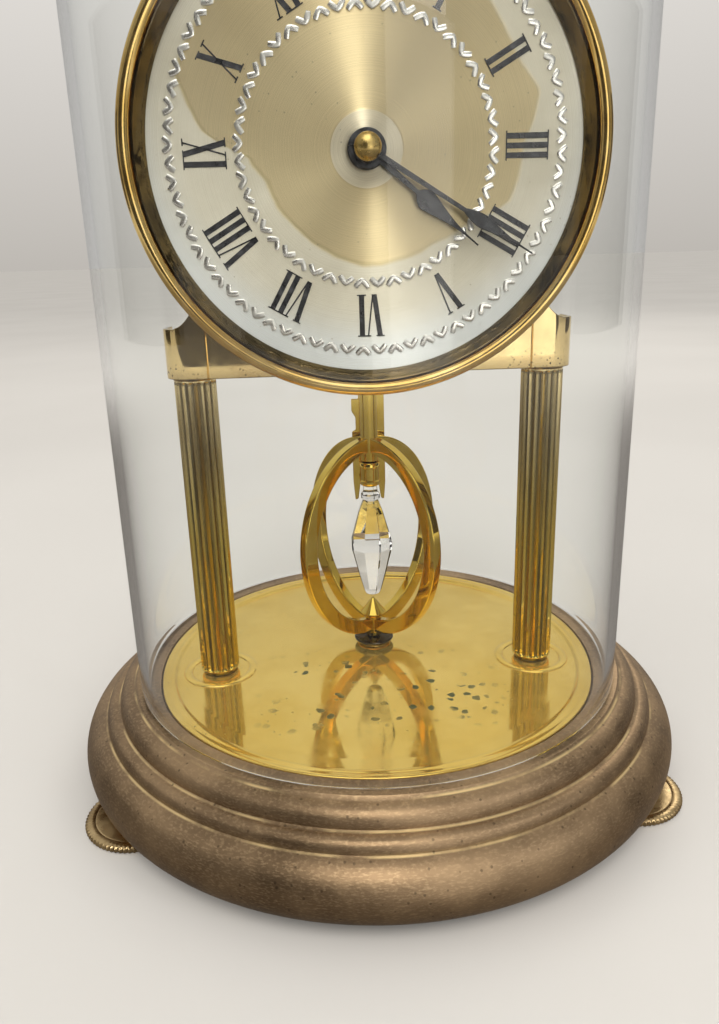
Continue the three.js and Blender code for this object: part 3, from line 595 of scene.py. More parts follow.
def plain_metal(name, color, roughness, streaks=(1, 1, 8)):
    paint = Paint(name, color, 1.0, roughness)
    lines = paint.noise(300, 4, paint.moved(scale=streaks))
    darker = tuple(c * 0.72 for c in color)
    paint.color(paint.mix(paint.band(lines, 0.35, 0.7), color, darker))
    paint.rough(paint.band(lines, 0.3, 0.7, roughness * 0.75, roughness * 1.35))
    paint.bump(lines, 0.00002, 0.4)
    return paint.material


def moulded(name, color, roughness=0.5):
    paint = Paint(name, color, 0.0, roughness)
    texture = paint.noise(1400, 3)
    tone = paint.noise(40, 3)
    darker = tuple(c * 0.8 for c in color)
    paint.color(paint.mix(paint.band(tone, 0.35, 0.7), color, darker))
    paint.rough(paint.band(texture, 0.3, 0.7, roughness * 0.85, roughness * 1.2))
    paint.bump(texture, 0.00004, 0.35)
    return paint.material


WIRE = 0.00035                # from one turn of a coil to the next, in metres


def winding():
    paint = Paint("copper_winding", (0.72, 0.33, 0.14), 1.0, 0.3)
    x = paint.split()[0]
    turns = paint.math("SINE", paint.times(x, 2 * math.pi / WIRE))
    paint.color(paint.mix(paint.band(turns, -1, 1), (0.45, 0.17, 0.06), (0.85, 0.42, 0.2)))
    paint.bump(turns, 0.0001, 0.6)
    return paint.material


def bezel_brass():
    """Gold lip, and browned inside it down to the dial."""
    light, deep = (0.94, 0.68, 0.27), (0.78, 0.50, 0.14)
    paint = Paint("bezel_brass", light, 1.0, 0.1)
    r = radius_from(paint, DIAL_CENTRE, "XZ")
    cone = paint.times(paint.band(r, 0.0571, 0.0575, 1.0, 0.0), paint.band(r, 0.0530, 0.0545))
    groove = paint.band(paint.apart(r, 0.0574), 0.0, 0.00035, 1.0, 0.0)
    in_front = paint.band(paint.split()[1], AXIS.y - 0.0195, AXIS.y - 0.0205)
    browned = paint.times(paint.math("MAXIMUM", cone, groove), in_front, 0.93)
    cloud = paint.noise(80, 4)
    gold = paint.mix(paint.band(cloud, 0.3, 0.7), light, deep)
    brown = paint.mix(paint.band(cloud, 0.4, 0.65), (0.07, 0.058, 0.042), (0.20, 0.15, 0.075))
    paint.color(paint.mix(browned, gold, brown))
    paint.rough(paint.band(paint.noise(260, 4), 0.3, 0.75, 0.06, 0.18))
    paint.bump(paint.noise(120, 2), 0.00004, 0.3)
    return paint.material


def battery_film():
    """A black sleeve with a gold end, between steel caps."""
    paint = Paint("cell_film", (0.05, 0.05, 0.06), 0.0, 0.25)
    x = paint.split()[0]
    gold = paint.band(x, 0.0118, 0.0121)
    steel = paint.math("MAXIMUM", paint.band(x, 0.0232, 0.0234), paint.band(x, -0.0246, -0.0244, 1.0, 0.0))
    scuff = paint.noise(350, 4)
    base = paint.mix(paint.band(scuff, 0.4, 0.75), (0.02, 0.02, 0.025), (0.07, 0.07, 0.08))
    color = paint.mix(gold, base, (0.72, 0.46, 0.18))
    paint.color(paint.mix(steel, color, (0.68, 0.68, 0.68)))
    paint.feed(paint.shader.inputs["Metallic"], paint.math("MAXIMUM", gold, steel))
    paint.rough(paint.band(scuff, 0.3, 0.7, 0.2, 0.36))
    return paint.material


def clear(name, tint, ior, dust_scale):
    """Clear glass that lets the lamps' light through to what stands behind it."""
    paint = Paint(name, tint, 0.0, 0.0, IOR=ior, Transmission_Weight=1.0)
    paint.rough(paint.band(paint.noise(dust_scale, 4), 0.55, 0.85, 0.0, 0.03))
    through = paint.node("ShaderNodeBsdfTransparent", {"Color": (0.97, 0.98, 0.975, 1)}).outputs[0]
    shadow = paint.node("ShaderNodeLightPath").outputs["Is Shadow Ray"]
    paint.blend(shadow, paint.shader.outputs[0], through)
    return paint.material


BRASS = polished_brass("polished_brass")
PENDULUM_BRASS = polished_brass("pendulum_brass", (0.88, 0.65, 0.15), (0.77, 0.52, 0.08), 0.04)
FOOT_BRASS = polished_brass("foot_brass", (0.62, 0.46, 0.24), (0.36, 0.25, 0.12), 0.3)
BRONZE = base_bronze()
PLATE = plate_brass()
COLUMN = column_brass()
BRACKET = bracket_brass()
DIAL = dial_paint()
MARKS = plain_metal("chevron_silver", (0.95, 0.93, 0.87), 0.24, (1, 1, 1))
BLACK = black_enamel()
STEEL = plain_metal("steel", (0.62, 0.62, 0.63), 0.3)
DARK = plain_metal("dark_steel", (0.11, 0.10, 0.09), 0.3)
COPPER = winding()
BLACK_PLASTIC = moulded("black_plastic", (0.035, 0.035, 0.04))
WHITE_PLASTIC = moulded("white_plastic", (0.82, 0.8, 0.73), 0.42)
BOARD = moulded("board_green", (0.04, 0.20, 0.09), 0.4)
GLASS = clear("dome_glass", (0.985, 0.995, 0.99), 1.33, 60)
CRYSTAL = clear("crystal", (1.0, 1.0, 1.0), 1.6, 300)
BEZEL = bezel_brass()
CELL = battery_film()
NUT = polished_brass("hand_nut_brass", (0.62, 0.45, 0.16), (0.42, 0.29, 0.1), 0.22)


# ---- More shapes ----
def lathe(name, profile, body, material, replaces=(), segments=128, smooth=35.0, **place):
    verts, faces = turned(profile, segments, **place)
    return add_piece(name, verts, faces, body, material, replaces, smooth)


def loft(sections, closed=False):
    """Vertices and faces through rings with the same number of points, capped at both ends."""
    count = len(sections[0])
    verts = [p for ring in sections for p in ring]
    faces = []
    last = len(sections) if closed else len(sections) - 1
    for i in range(last):
        j = (i + 1) % len(sections)
        for k in range(count):
            m = (k + 1) % count
            faces.append([i * count + k, i * count + m, j * count + m, j * count + k])
    if not closed:
        faces.append(list(range(count)))
        faces.append([(len(sections) - 1) * count + k for k in range(count)])
    return verts, faces


class Shape:
    """Vertices and faces gathered from several closed solids."""

    def __init__(self):
        self.verts, self.faces = [], []

    def add(self, verts, faces):
        start = len(self.verts)
        self.verts += verts
        self.faces += [[start + i for i in face] for face in faces]


def inset(points, depth):
    """A convex outline moved inwards by depth."""
    out = []
    for i, p in enumerate(points):
        v = Vector(p)
        a = (v - Vector(points[i - 1])).normalized()
        b = (Vector(points[(i + 1) % len(points)]) - v).normalized()
        normal = Vector((-a.y - b.y, a.x + b.x)).normalized()
        reach = depth / max(0.3, normal.dot(Vector((-a.y, a.x))))
        out.append(tuple(v + normal * reach))
    return out


def prism(points, y_front, y_back, edge):
    """A convex [x, z] outline, counterclockwise from the front, with its front edges eased."""
    face = inset(points, edge)
    return loft([
        [(x, y_back, z) for x, z in points],
        [(x, y_front + edge, z) for x, z in points],
        [(x, y_front, z) for x, z in face],
    ])


def softened(node, width, material):
    """The CAD solid with its sharp edges rounded, standing for it."""
    source = frame["nodes"][node]
    mesh = source.data.copy()
    work = bmesh.new()
    work.from_mesh(mesh)
    bmesh.ops.remove_doubles(work, verts=work.verts, dist=1e-6)
    bmesh.ops.dissolve_limit(work, angle_limit=math.radians(1), verts=work.verts, edges=work.edges)
    sharp = [e for e in work.edges if len(e.link_faces) == 2 and e.calc_face_angle() > math.radians(28)]
    bmesh.ops.bevel(work, geom=sharp, offset=width * MM, segments=2, profile=0.5,
                    affect="EDGES", clamp_overlap=True)
    work.to_mesh(mesh)
    work.free()
    return dress(node + "_shape", mesh, source["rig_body"], material, (node,))


def knurled(verts, centre, count, depth, beyond, across=False):
    """A turned shape's points, those further out than beyond pressed in by a share of up to depth."""
    pressed = []
    for x, y, z in verts:
        u, v = x - centre[0], (z if across else y) - centre[1]
        share = 1.0
        if math.hypot(u, v) > beyond:
            share -= depth * (0.5 - 0.5 * math.cos(count * math.atan2(v, u)))
        u, v = centre[0] + u * share, centre[1] + v * share
        pressed.append((u, y, v) if across else (u, v, z))
    return pressed


# ---- Base and dome ----
def base_profile():
    """[radius, height] around the base's wall: a ledge, two beads and a big roll, then the inside."""
    shelf_z = PLATE_Z - 1.5
    pocket_r = PLATE_R + 0.4
    roll_r, roll_z = BASE_R - 10, 11.5
    ledge = [(62, shelf_z), (pocket_r, shelf_z), (pocket_r, LEDGE_Z), (76.2, LEDGE_Z)]
    return [
        *eased(ledge, 0.35, loop=False),
        *bulge((77.1, 29.2), (81.7, 24.5), 1.3, 12),
        *bulge((82.3, 24.1), (85.9, 20.8), 1.1, 12),
        *arc(roll_r, roll_z, 10, 9.6, 70, -58, 40),
        (87.6, BASE_LOW.z), (86.6, BASE_LOW.z),
        *arc(roll_r, roll_z, 8.7, 8.3, -62, 60, 14),
        (84.4, 19.5), (76.2, 27.6), (70.5, 28.6), (70.5, 26.2), (62, 26.2),
    ]


def build_base():
    lathe("base_moulding", base_profile(), "base", BRONZE, ("base_shell",), 256)
    r, top, bottom = PLATE_R, LEDGE_Z, PLATE_LOW.z
    groove = 59.2
    plate = [
        (0, bottom), (r - 0.4, bottom), (r, bottom + 0.4), (r, top - 0.35), (r - 0.35, top), (r - 1.5, top),
        (r - 2.0, top - 0.25), (r - 2.5, top), (r - 3.7, top), (r - 4.1, top - 0.3),
        (r - 4.5, PLATE_Z + 0.1), (r - 5.0, PLATE_Z),
        (groove + 0.4, PLATE_Z), (groove, PLATE_Z - 0.12), (groove - 0.4, PLATE_Z), (0, PLATE_Z),
    ]
    lathe("floor_disc", plate, "base", PLATE, ("floor_plate",), 256, smooth=60)
    rounded = arc(10.3, PLATE_Z - 0.05, 1.4, 0.65, 170, 10, 12)
    ring = [(8.8, PLATE_Z - 0.2), *rounded, (11.8, PLATE_Z - 0.2)]
    for side, x in (("left", -COLUMN_X), ("right", COLUMN_X)):
        lathe(f"plate_ring_{side}", ring, "base", PLATE, segments=96, smooth=60, centre=(x, COLUMN_Y))
    softened("bottom_plate", 0.3, DARK)
    low, high = size_of("guide_cup")
    cup = [(2, low.z), (5.2, low.z), (5.4, low.z + 0.2), (5.3, low.z + 0.45), (4.7, high.z - 0.05),
           (4.4, high.z), (2.2, high.z), (2, high.z - 0.2)]
    lathe("guide_ring", cup, "base", BRASS, ("guide_cup",), 64, centre=(0, PENDULUM_Y))


def build_dome():
    bottom = DOME_LOW.z
    shoulder = DOME_HIGH.z - DOME_R
    inner = DOME_R - DOME_WALL
    outside = arc(0, shoulder, DOME_R, DOME_R, 90, 0, 40)
    inside = arc(0, shoulder, inner, inner, 0, 90, 40)
    half = DOME_WALL / 2
    rim = arc(inner + half, bottom + half, half, half, 0, -180, 10)
    straight = bottom + half + 0.5          # the wall's shading stays level down to here
    profile = [(0, DOME_HIGH.z), *outside[1:], (DOME_R, straight), *rim, (inner, straight),
               *inside[:-1], (0, DOME_HIGH.z - DOME_WALL)]
    lathe("dome_shell", profile, "dome", GLASS, ("glass_dome",), 192, smooth=60)


def build_feet():
    knurls = 72
    stem, top = 2, 2.2
    for name in ("left", "right", "rear"):
        low, high = size_of(f"levelling_foot_{name}")
        centre = ((low.x + high.x) / 2, (low.y + high.y) / 2)
        r = (high.x - low.x) / 2
        disc = [(0, 0), (r - 1.0, 0), (r - 0.3, 0.35), (r, 0.7), (r, 1.6), (r - 0.3, 1.95), (r - 1.1, top),
                (r - 2.6, top), (r - 2.9, top - 0.15), (r - 3.2, top)]
        stud = [(stem + 0.4, top), (stem, top + 0.4), (stem, high.z - 0.4), (stem - 0.4, high.z), (0, high.z)]
        verts, faces = turned(disc + stud, knurls * 6, centre)
        verts = knurled(verts, centre, knurls, 0.42 / r, r - 0.5)
        add_piece(f"foot_disc_{name}", verts, faces, f"foot_{name}", FOOT_BRASS,
                  (f"levelling_foot_{name}",))
        softened(f"foot_bush_{name}", 0.2, STEEL)


# ---- Columns and bracket ----
def flute_dip(height, step, low, high):
    """How far a column's surface lies inside its outer radius."""
    across = 2 * (step % FLUTE_STEPS) / FLUTE_STEPS - 1
    end = min(height - low, high - height)
    if end <= 0:
        return 0.0
    half = math.sqrt(max(0.0, 1 - (1 - min(end / FLUTE_END, 1.0)) ** 2)) * FLUTE_SHARE
    if half < 1e-3 or abs(across) >= half:
        return 0.0
    return FLUTE_DEPTH * (1 - (across / half) ** 2) * min(1.0, half)


def build_columns():
    r, low, high = COLUMN_R, COLUMN_LOW.z, COLUMN_HIGH.z
    flute_low, flute_high = low + 1.5, high - 0.6
    steps = FLUTES * FLUTE_STEPS
    near = [0.0, 0.08, 0.2, 0.4, 0.6, 0.85, FLUTE_END]
    levels = [flute_low + s for s in near]
    levels += [flute_low + 8, (flute_low + flute_high) / 2, flute_high - 8]
    levels += [flute_high - s for s in reversed(near)]
    profile = [
        (r - 1.0, low), (r - 0.7, low + 0.25), (r - 0.7, low + 0.9), (r - 0.3, low + 1.1), (r, low + 1.4),
        *((r, z) for z in levels), (r, high - 0.3), (r - 0.3, high), (2.0, high), (2.0, low),
    ]
    for side, x in (("left", -COLUMN_X), ("right", COLUMN_X)):
        verts, faces = turned(profile, steps, (x, COLUMN_Y))
        for i, (vx, vy, vz) in enumerate(verts):
            reach = math.hypot(vx - x, vy - COLUMN_Y)
            if reach > r - 0.05:
                share = (reach - flute_dip(vz, i % steps, flute_low, flute_high)) / reach
                verts[i] = (x + (vx - x) * share, COLUMN_Y + (vy - COLUMN_Y) * share, vz)
        add_piece(f"fluted_column_{side}", verts, faces, "base", COLUMN, (f"column_{side}",))
        softened(f"column_nut_{side}", 0.25, STEEL)
        softened(f"tie_screw_{side}", 0.2, STEEL)


SHOULDER = [(30.0, 152.0), (44.0, 146.0), (48.7, 139.8)]     # the bracket's upper edge: x, height
SCOOP_END = (53.6, 136.0)
SCOOP_DEPTH = 0.9
END_TOP = 135.7                # the upper edge beyond the scoop
TONGUE = 29.9                  # half width of the tall middle
CREASE_X = 45.0                # the line where the strap's ends start


def bracket_top(x):
    """Height of the bracket's upper edge at a distance x from the middle."""
    side = abs(x)
    if side < TONGUE:
        return BRACKET_HIGH.z
    for (x0, z0), (x1, z1) in zip(SHOULDER, SHOULDER[1:]):
        if side <= x1:
            return z0 + (z1 - z0) * (side - x0) / (x1 - x0)
    if side >= SCOOP_END[0]:
        return END_TOP
    start_x, start_z = SHOULDER[-1]
    t = (side - start_x) / (SCOOP_END[0] - start_x)
    return start_z + (SCOOP_END[1] - start_z) * t - 4 * SCOOP_DEPTH * t * (1 - t)


def strap_sections(half, front, back, low, corner, wall):
    """Rounded upright sections along the bent strap, from its left end to its right one."""
    right = [(x, front) for x in (0, 15, 29.6, 30.2, 34, 39, CREASE_X - 0.3)]
    right.append((CREASE_X, front + 0.35))
    right += [(x, front) for x in (CREASE_X + 0.3, 46.5, 47.6, 48.7, 49.3, 49.9, 50.5)]
    right += arc(half - corner, front + corner, corner, corner, -90, 0, 18)
    right += [(half, front + 8), (half, back)]
    path = [(-x, y) for x, y in reversed(right[1:])] + right
    sections = []
    for i, (x, y) in enumerate(path):
        ahead = Vector(path[min(i + 1, len(path) - 1)]) - Vector(path[max(i - 1, 0)])
        inward = Vector((-ahead.y, ahead.x)).normalized()
        if abs(abs(x) - CREASE_X) < 0.05:
            inward = Vector((0.0, 1.0))
        top = bracket_top(x)
        rows = [low + 0.3, low + 4, low + 8, low + 12, top - 0.3]
        outline = [(0.3, low), (0.09, low + 0.09)] + [(0.0, z) for z in rows]
        outline += [(0.09, top - 0.09), (0.3, top), (wall - 0.3, top), (wall - 0.09, top - 0.09)]
        outline += [(wall, z) for z in reversed(rows)] + [(wall - 0.09, low + 0.09), (wall - 0.3, low)]
        sections.append([(x + inward.x * d, y + inward.y * d, z) for d, z in outline])
    return sections


def build_bracket():
    half, front, back, low = BRACKET_HIGH.x, BRACKET_LOW.y, BRACKET_HIGH.y, BRACKET_LOW.z
    corner, wall = 6.5, 1.3
    verts, faces = loft(strap_sections(half, front, back, low, corner, wall))
    add_piece("bracket_strap", verts, faces, "base", BRACKET, ("bracket",))
    turn = corner - 1.25
    outline = [(32, front + 1.2), *arc(half - corner, front + corner, turn, turn, -90, 0, 10),
               (half - 1.25, back), (32, back)]
    for name, side in (("left", -1), ("right", 1)):
        loops = [[(side * x, y) for x, y in loop] for loop in (outline, circle(2, 24, COLUMN_X, COLUMN_Y))]
        mesh = plate_mesh("flange", loops, wall, 0.2)
        mesh.transform(to_row(Matrix.Translation((0, 0, low + wall / 2))))
        dress(f"bracket_flange_{name}", mesh, "base", BRACKET)


# ---- Dial ----
def on_dial(r, u, degrees):
    """[x, z] of a point r out from the centre and u clockwise of a line at degrees."""
    a = math.radians(degrees)
    return (r * math.sin(a) + u * math.cos(a), CENTRE_Z + r * math.cos(a) - u * math.sin(a))


def dial_lathe(name, profile, material, replaces, segments=96, body="base", smooth=35.0):
    """A solid turned about the dial's own axis, from [radius, y] points."""
    return lathe(name, profile, body, material, replaces, segments, smooth,
                 centre=(0, CENTRE_Z), across=True)


def build_dial():
    front, back, r = DIAL_Y, DIAL_HIGH.y, DIAL_HIGH.x
    disc = [(4.3, back), (r, back), (r, front), (9.5, front), (9.3, front - 0.12), (8.9, front - 0.18),
            (4.5, front - 0.18), (4.3, front)]
    dial_lathe("dial_disc", disc, DIAL, ("dial_plate",), 256)

    r, y0, back = BEZEL_R, BEZEL_LOW.y, BEZEL_HIGH.y
    cone = [(54.6, front - 0.3), (54.75, front - 0.7), (55.3, front - 1.5), (56.8, y0 + 1.35)]
    groove = [(57.1, y0 + 1.2), (57.3, y0 + 1.55), (57.5, y0 + 1.75)]
    lip = arc(r - 1.75, y0 + 1.8, 1.75, 1.8, 180, 360, 16)
    sleeve = [(r, back - 0.3), (r - 0.3, back), (57.6, back), (57.4, back - 0.2), (57.4, front - 0.3)]
    dial_lathe("bezel_ring", cone + groove + lip + sleeve, BEZEL, ("bezel",), 256, smooth=30)
    low, high = size_of("dial_spacer")
    front, back = low.y, high.y
    spacer = [(4.4, front), (11.7, front), (12, front + 0.3), (12, back - 0.3), (11.7, back), (4.4, back)]
    dial_lathe("spacer_ring", spacer, BLACK_PLASTIC, ("dial_spacer",))
    low, high = size_of("mounting_nut")
    r = high.x
    nut = [(4.2, low.y + 0.1), (4.3, low.y), (r - 0.4, low.y), (r - 0.1, low.y + 0.1), (r, low.y + 0.4),
           (r, high.y), (4.2, high.y)]
    dial_lathe("dial_nut", nut, BLACK, ("mounting_nut",))


BAR = 1.35                    # thick strokes
THIN = 0.38                   # thin strokes
SERIF = 0.3
NUMERAL_IN, NUMERAL_OUT = 35.0, 45.8
GLYPHS = {
    # half width, strokes as [outer end, inner end, thickness], outer serifs, inner serifs
    "I": (1.13, [(0.0, 0.0, BAR)], [(-1.2, 1.2)], [(-1.2, 1.2)]),
    "V": (2.3, [(-1.35, 0.1, BAR), (1.85, 0.5, THIN)], [(-2.5, -0.3), (1.1, 2.5)], []),
    "X": (2.5, [(-1.3, 1.3, BAR), (1.5, -1.6, THIN)],
          [(-2.4, -0.3), (0.7, 2.4)], [(-2.4, -0.8), (0.2, 2.4)]),
}
HOURS = ["XII", "I", "II", "III", "IIII", "V", "VI", "VII", "VIII", "IX", "X", "XI"]


def build_numerals():
    for hour, letters in enumerate(HOURS):
        shape = Shape()
        pen = -sum(GLYPHS[letter][0] for letter in letters)
        for letter in letters:
            half, strokes, outer, inner = GLYPHS[letter]
            pen += half
            bars = [(pen + a, pen + b, width, NUMERAL_OUT, NUMERAL_IN, 0.22) for a, b, width in strokes]
            for r, serifs in ((NUMERAL_OUT, outer), (NUMERAL_IN + SERIF, inner)):
                for a, b in serifs:
                    middle = pen + (a + b) / 2
                    bars.append((middle, middle, b - a, r, r - SERIF, 0.2))
            for start, stop, width, r_out, r_in, proud in bars:
                corners = [(r_in, stop - width / 2), (r_in, stop + width / 2),
                           (r_out, start + width / 2), (r_out, start - width / 2)]
                outline = [on_dial(r, u, hour * 30) for r, u in corners]
                shape.add(*prism(outline, DIAL_Y - proud, DIAL_Y + 0.1, 0.05))
            pen += half
        name = f"numeral_{hour or 12:02d}"
        add_piece(name, shape.verts, shape.faces, "base", BLACK, smooth=20)


def bead(path, half_width, height, degrees):
    """A raised rounded stroke on the dial along [r, u] points."""
    sections = []
    count = len(path)
    for i, p in enumerate(path):
        ahead = (Vector(path[min(i + 1, count - 1)]) - Vector(path[max(i - 1, 0)])).normalized()
        side = Vector((-ahead.y, ahead.x))
        share = 0.85 if i in (0, count - 1) else 1.0
        ring = []
        for k in range(9):
            a = math.pi * k / 8
            r, u = Vector(p) + side * half_width * share * math.cos(a)
            x, z = on_dial(r, u, degrees)
            ring.append((x, DIAL_Y + 0.1 - (height + 0.1) * share * math.sin(a) ** 0.3, z))
        sections.append(ring)
    return loft(sections)


def build_chevrons():
    """Two rings of raised bent strokes that point outwards and inwards in turn."""
    rise, half_width, height = 0.85, 0.74, 0.4
    for name, count, r, half_length in (("outer", 72, 49.3, 1.7), ("inner", 48, 32.0, 1.75)):
        shape = Shape()
        for i in range(count):
            way = 1 if i % 2 else -1
            path = []
            for k in range(-4, 5):
                t = k / 4
                bend = rise * (1 - 2 * abs(t) ** 1.3) - 0.3
                path.append((r + bend * way, half_length * t))
            shape.add(*bead(path, half_width, height, (i + 0.5) * 360 / count))
        add_piece(f"chevron_ring_{name}", shape.verts, shape.faces, "base", MARKS, smooth=50)


def hand_outline(hub, leaf_from, widest, half, length):
    """A hand that points to twelve: round hub, thin stem and a slim leaf."""
    stem, tip, steps = 0.5, 0.2, 12
    shares = [i / steps for i in range(1, steps + 1)]
    right = arc(0, 0, hub, hub, -90, 79, 20) + [(stem, leaf_from)]
    for t in shares:
        swell = math.sin(t * math.pi / 2) ** 0.9
        right.append((stem + (half - stem) * swell, leaf_from + (widest - leaf_from) * t))
    for t in shares:
        taper = (1 - t) ** 3 * (1 + 1.6 * t)
        right.append((tip + (half - tip) * taper, widest + (length - widest) * t))
    return right + [(-x, z) for x, z in reversed(right[1:])]


def build_hands():
    for name, hub, bore, leaf_from, widest, half, length, angle in (
            ("hour", 4.7, 2.75, 16.2, 19.3, 2.6, 36.5, HOUR_ANGLE),
            ("minute", 3.6, 1.8, 28.5, 34.0, 1.7, 49.0, MINUTE_ANGLE)):
        low, high = size_of(f"{name}_hand")
        loops = [hand_outline(hub, leaf_from, widest, half, length), circle(bore, 40)]
        upright(f"{name}_blade", loops, low.y, high.y - low.y, name, BLACK,
                (f"{name}_hand",), bevel=0.12, at=(0, CENTRE_Z), turn=angle)
    low, high = size_of("hand_nut")
    r, seat = (high.x - low.x) / 2, high.y
    rim = seat - 0.9
    cap = [(x, rim - fall) for x, fall in arc(0, 0, r, rim - low.y, 0, 90, 14)[:-1]]
    nut = [(1.8, seat), (r - 0.2, seat), (r, seat - 0.2), *cap,
           (0, low.y), (0, seat - 1.9), (1.6, seat - 1.9), (1.8, seat - 1.7)]
    dial_lathe("cap_nut", nut, NUT, ("hand_nut",), body="minute")


# ---- Pendulum ----
def pendulum_lathe(name, node, profile, material=PENDULUM_BRASS):
    return lathe(name, profile, "pendulum", material, (node,), 72, centre=(0, PENDULUM_Y))


def heights(node):
    return [corner.z for corner in size_of(node)]


def hoop_sections():
    """Rounded-rectangle sections around one whole hoop that stands in the x-z plane."""
    middle = (HOOP["top"] + HOOP["bottom"]) / 2
    tall = (HOOP["top"] - HOOP["bottom"]) / 2
    t, d = HOOP["thick"] / 2, HOOP["deep"] / 2
    corners = [(t, -d), (t, d), (-t, d), (-t, -d)]
    outline = eased(corners, 0.55, 4)
    steps = 160
    sections = []
    for i in range(steps):
        a = 2 * math.pi * i / steps
        cx, cz = (HOOP["half_width"] - t) * math.cos(a), (tall - t) * math.sin(a)
        normal = Vector(((tall - t) * math.cos(a), (HOOP["half_width"] - t) * math.sin(a))).normalized()
        sections.append([(cx + normal.x * p, q, middle + cz + normal.y * p) for p, q in outline])
    return sections


def build_hoops():
    """Two whole hoops that cross, parted at the middle planes into four arms."""
    half_gap = 0.12
    for across in (-1, 1):
        for along in (-1, 1):
            verts, faces = loft(hoop_sections(), closed=True)
            work = bmesh.new()
            corners = [work.verts.new(v) for v in verts]
            for face in faces:
                work.faces.new([corners[i] for i in face])
            turn = HOOP_ANGLE if across * along > 0 else HOOP_ANGLE - 90
            bmesh.ops.rotate(work, verts=work.verts, matrix=Matrix.Rotation(math.radians(turn), 3, "Z"))
            for normal in (Vector((across, 0, 0)), Vector((0, along, 0))):
                geometry = work.verts[:] + work.edges[:] + work.faces[:]
                cut = bmesh.ops.bisect_plane(work, geom=geometry, plane_co=normal * half_gap, plane_no=normal,
                                             clear_inner=True)
                rim = [e for e in cut["geom_cut"] if isinstance(e, bmesh.types.BMEdge)]
                bmesh.ops.holes_fill(work, edges=rim)
            mesh = bpy.data.meshes.new("hoop")
            work.to_mesh(mesh)
            work.free()
            mesh.transform(to_row(Matrix.Translation((0, PENDULUM_Y, 0))))
            name = f"{'rear' if along > 0 else 'front'}_{'right' if across > 0 else 'left'}"
            dress(f"hoop_{name}", mesh, "pendulum", PENDULUM_BRASS, (f"hoop_arm_{name}",))


def build_crystal():
    """A cut drop with eight long sides that meet at its waist, under a collar and a short neck."""
    sides = 8
    rows = [(2.3, 47.0), (3.0, 48.4), (4.8, 54.6), (7.0, 63.2), (7.0, 65.4), (4.3, 74.6), (2.9, 78.2),
            (2.5, 79.0), (3.2, 80.0), (3.2, 80.9), (2.5, 81.8), (2.3, CRYSTAL_TOP)]
    sections = []
    for r, z in rows:
        ring = [math.radians(360 * (k + 0.5) / sides) for k in range(sides)]
        sections.append([(r * math.cos(a), PENDULUM_Y + r * math.sin(a), z) for a in ring])
    verts, faces = loft(sections)
    add_piece("cut_drop", verts, faces, "pendulum", CRYSTAL, ("crystal_drop",), smooth=0)


def build_carrier():
    """The flat strip in front of the rod: forked at its foot and notched down its left edge."""
    w, fork, foot = STRIP_HIGH.x, 84.0, STRIP_LOW.z
    half_fork = [(w - 2.3, fork), (w - 1.5, foot + 0.4), (w - 0.5, foot), (w, fork)]
    notches = [(-w, 112.6), (-w + 2.2, 112.6), (-w + 2.2, 110.8), (-w, 110.8), (-w, 107), (-w + 1.2, 105),
               (-w + 1.2, 101), (-w, 100.4)]
    outline = [(-x, z) for x, z in reversed(half_fork)] + half_fork
    outline += [(w, STRIP_HIGH.z), (-w, STRIP_HIGH.z), *notches]
    upright("carrier_strip", [eased(outline, 0.35)], STRIP_LOW.y, STRIP_HIGH.y - STRIP_LOW.y, "pendulum",
            PENDULUM_BRASS, ("hanger_strip",), bevel=0.15)


def build_pendulum():
    r, low, high = ROD_R, ROD_LOW.z, ROD_HIGH.z
    rod = [(0, low), (r - 0.3, low), (r, low + 0.3), (r, high - 0.3), (r - 0.3, high), (0, high)]
    pendulum_lathe("rod", "pendulum_rod", rod)
    low, high = heights("crystal_ferrule")
    ferrule = [(0, low), (2.7, low), (3.0, low + 0.2), (3.2, low + 0.6), (3.2, low + 1.5), (2.95, low + 1.8),
               (2.95, high - 1.8), (3.2, high - 1.5), (3.2, high - 0.5), (2.9, high), (0, high)]
    pendulum_lathe("drop_ferrule", "crystal_ferrule", ferrule)
    low, high = heights("finial")
    finial = [(0, low), (3.2, low), (3.9, low + 0.35), (4.1, low + 0.6), (4.1, low + 0.95), (3.9, low + 1.2),
              (0.35, high - 0.1), (0, high)]
    pendulum_lathe("cone_finial", "finial", finial)
    low, high = heights("pendulum_post")
    post = [(0, low), (2.3, low), (2.6, low + 0.3), (2.6, high - 0.2), (2.4, high), (0, high)]
    pendulum_lathe("post", "pendulum_post", post)
    low, high = heights("pendulum_base_disc")
    disc = [(0, low), (6.1, low), (6.4, low + 0.2), (6.5, low + 0.5), (6.4, high - 0.2), (6.1, high),
            (0, high)]
    pendulum_lathe("foot_washer", "pendulum_base_disc", disc, DARK)
    low, high = heights("drive_magnet")
    magnet = eased([(0, low), (5.4, low), (5.4, high), (0, high)], 0.4, loop=False)
    pendulum_lathe("magnet", "drive_magnet", magnet, DARK)
    build_carrier()
    build_hoops()
    build_crystal()


# ---- Movement ----
def build_case_details():
    back = size_of("movement_case_back")[1].y
    rivet = [(0, back - 0.3), (1.9, back - 0.3), (1.9, back + 0.35), (1.6, back + 0.6), (0, back + 0.6)]
    shape = Shape()
    for x in (-24, 24):
        for z in (151, 183):
            shape.add(*turned(rivet, 24, centre=(x, z), across=True))
    add_piece("case_rivets", shape.verts, shape.faces, "base", BLACK_PLASTIC)
    shape = Shape()
    for i in range(5):
        z = 154.0 + i * 2.4
        outline = [(-14, z), (-4, z), (-4, z + 1.1), (-14, z + 1.1)]
        buried = [(x, back - 0.2, zz) for x, zz in outline]
        proud = [(x, back + 0.45, zz) for x, zz in inset(outline, 0.2)]
        shape.add(*loft([buried, proud]))
    add_piece("case_ribs", shape.verts, shape.faces, "base", BLACK_PLASTIC)


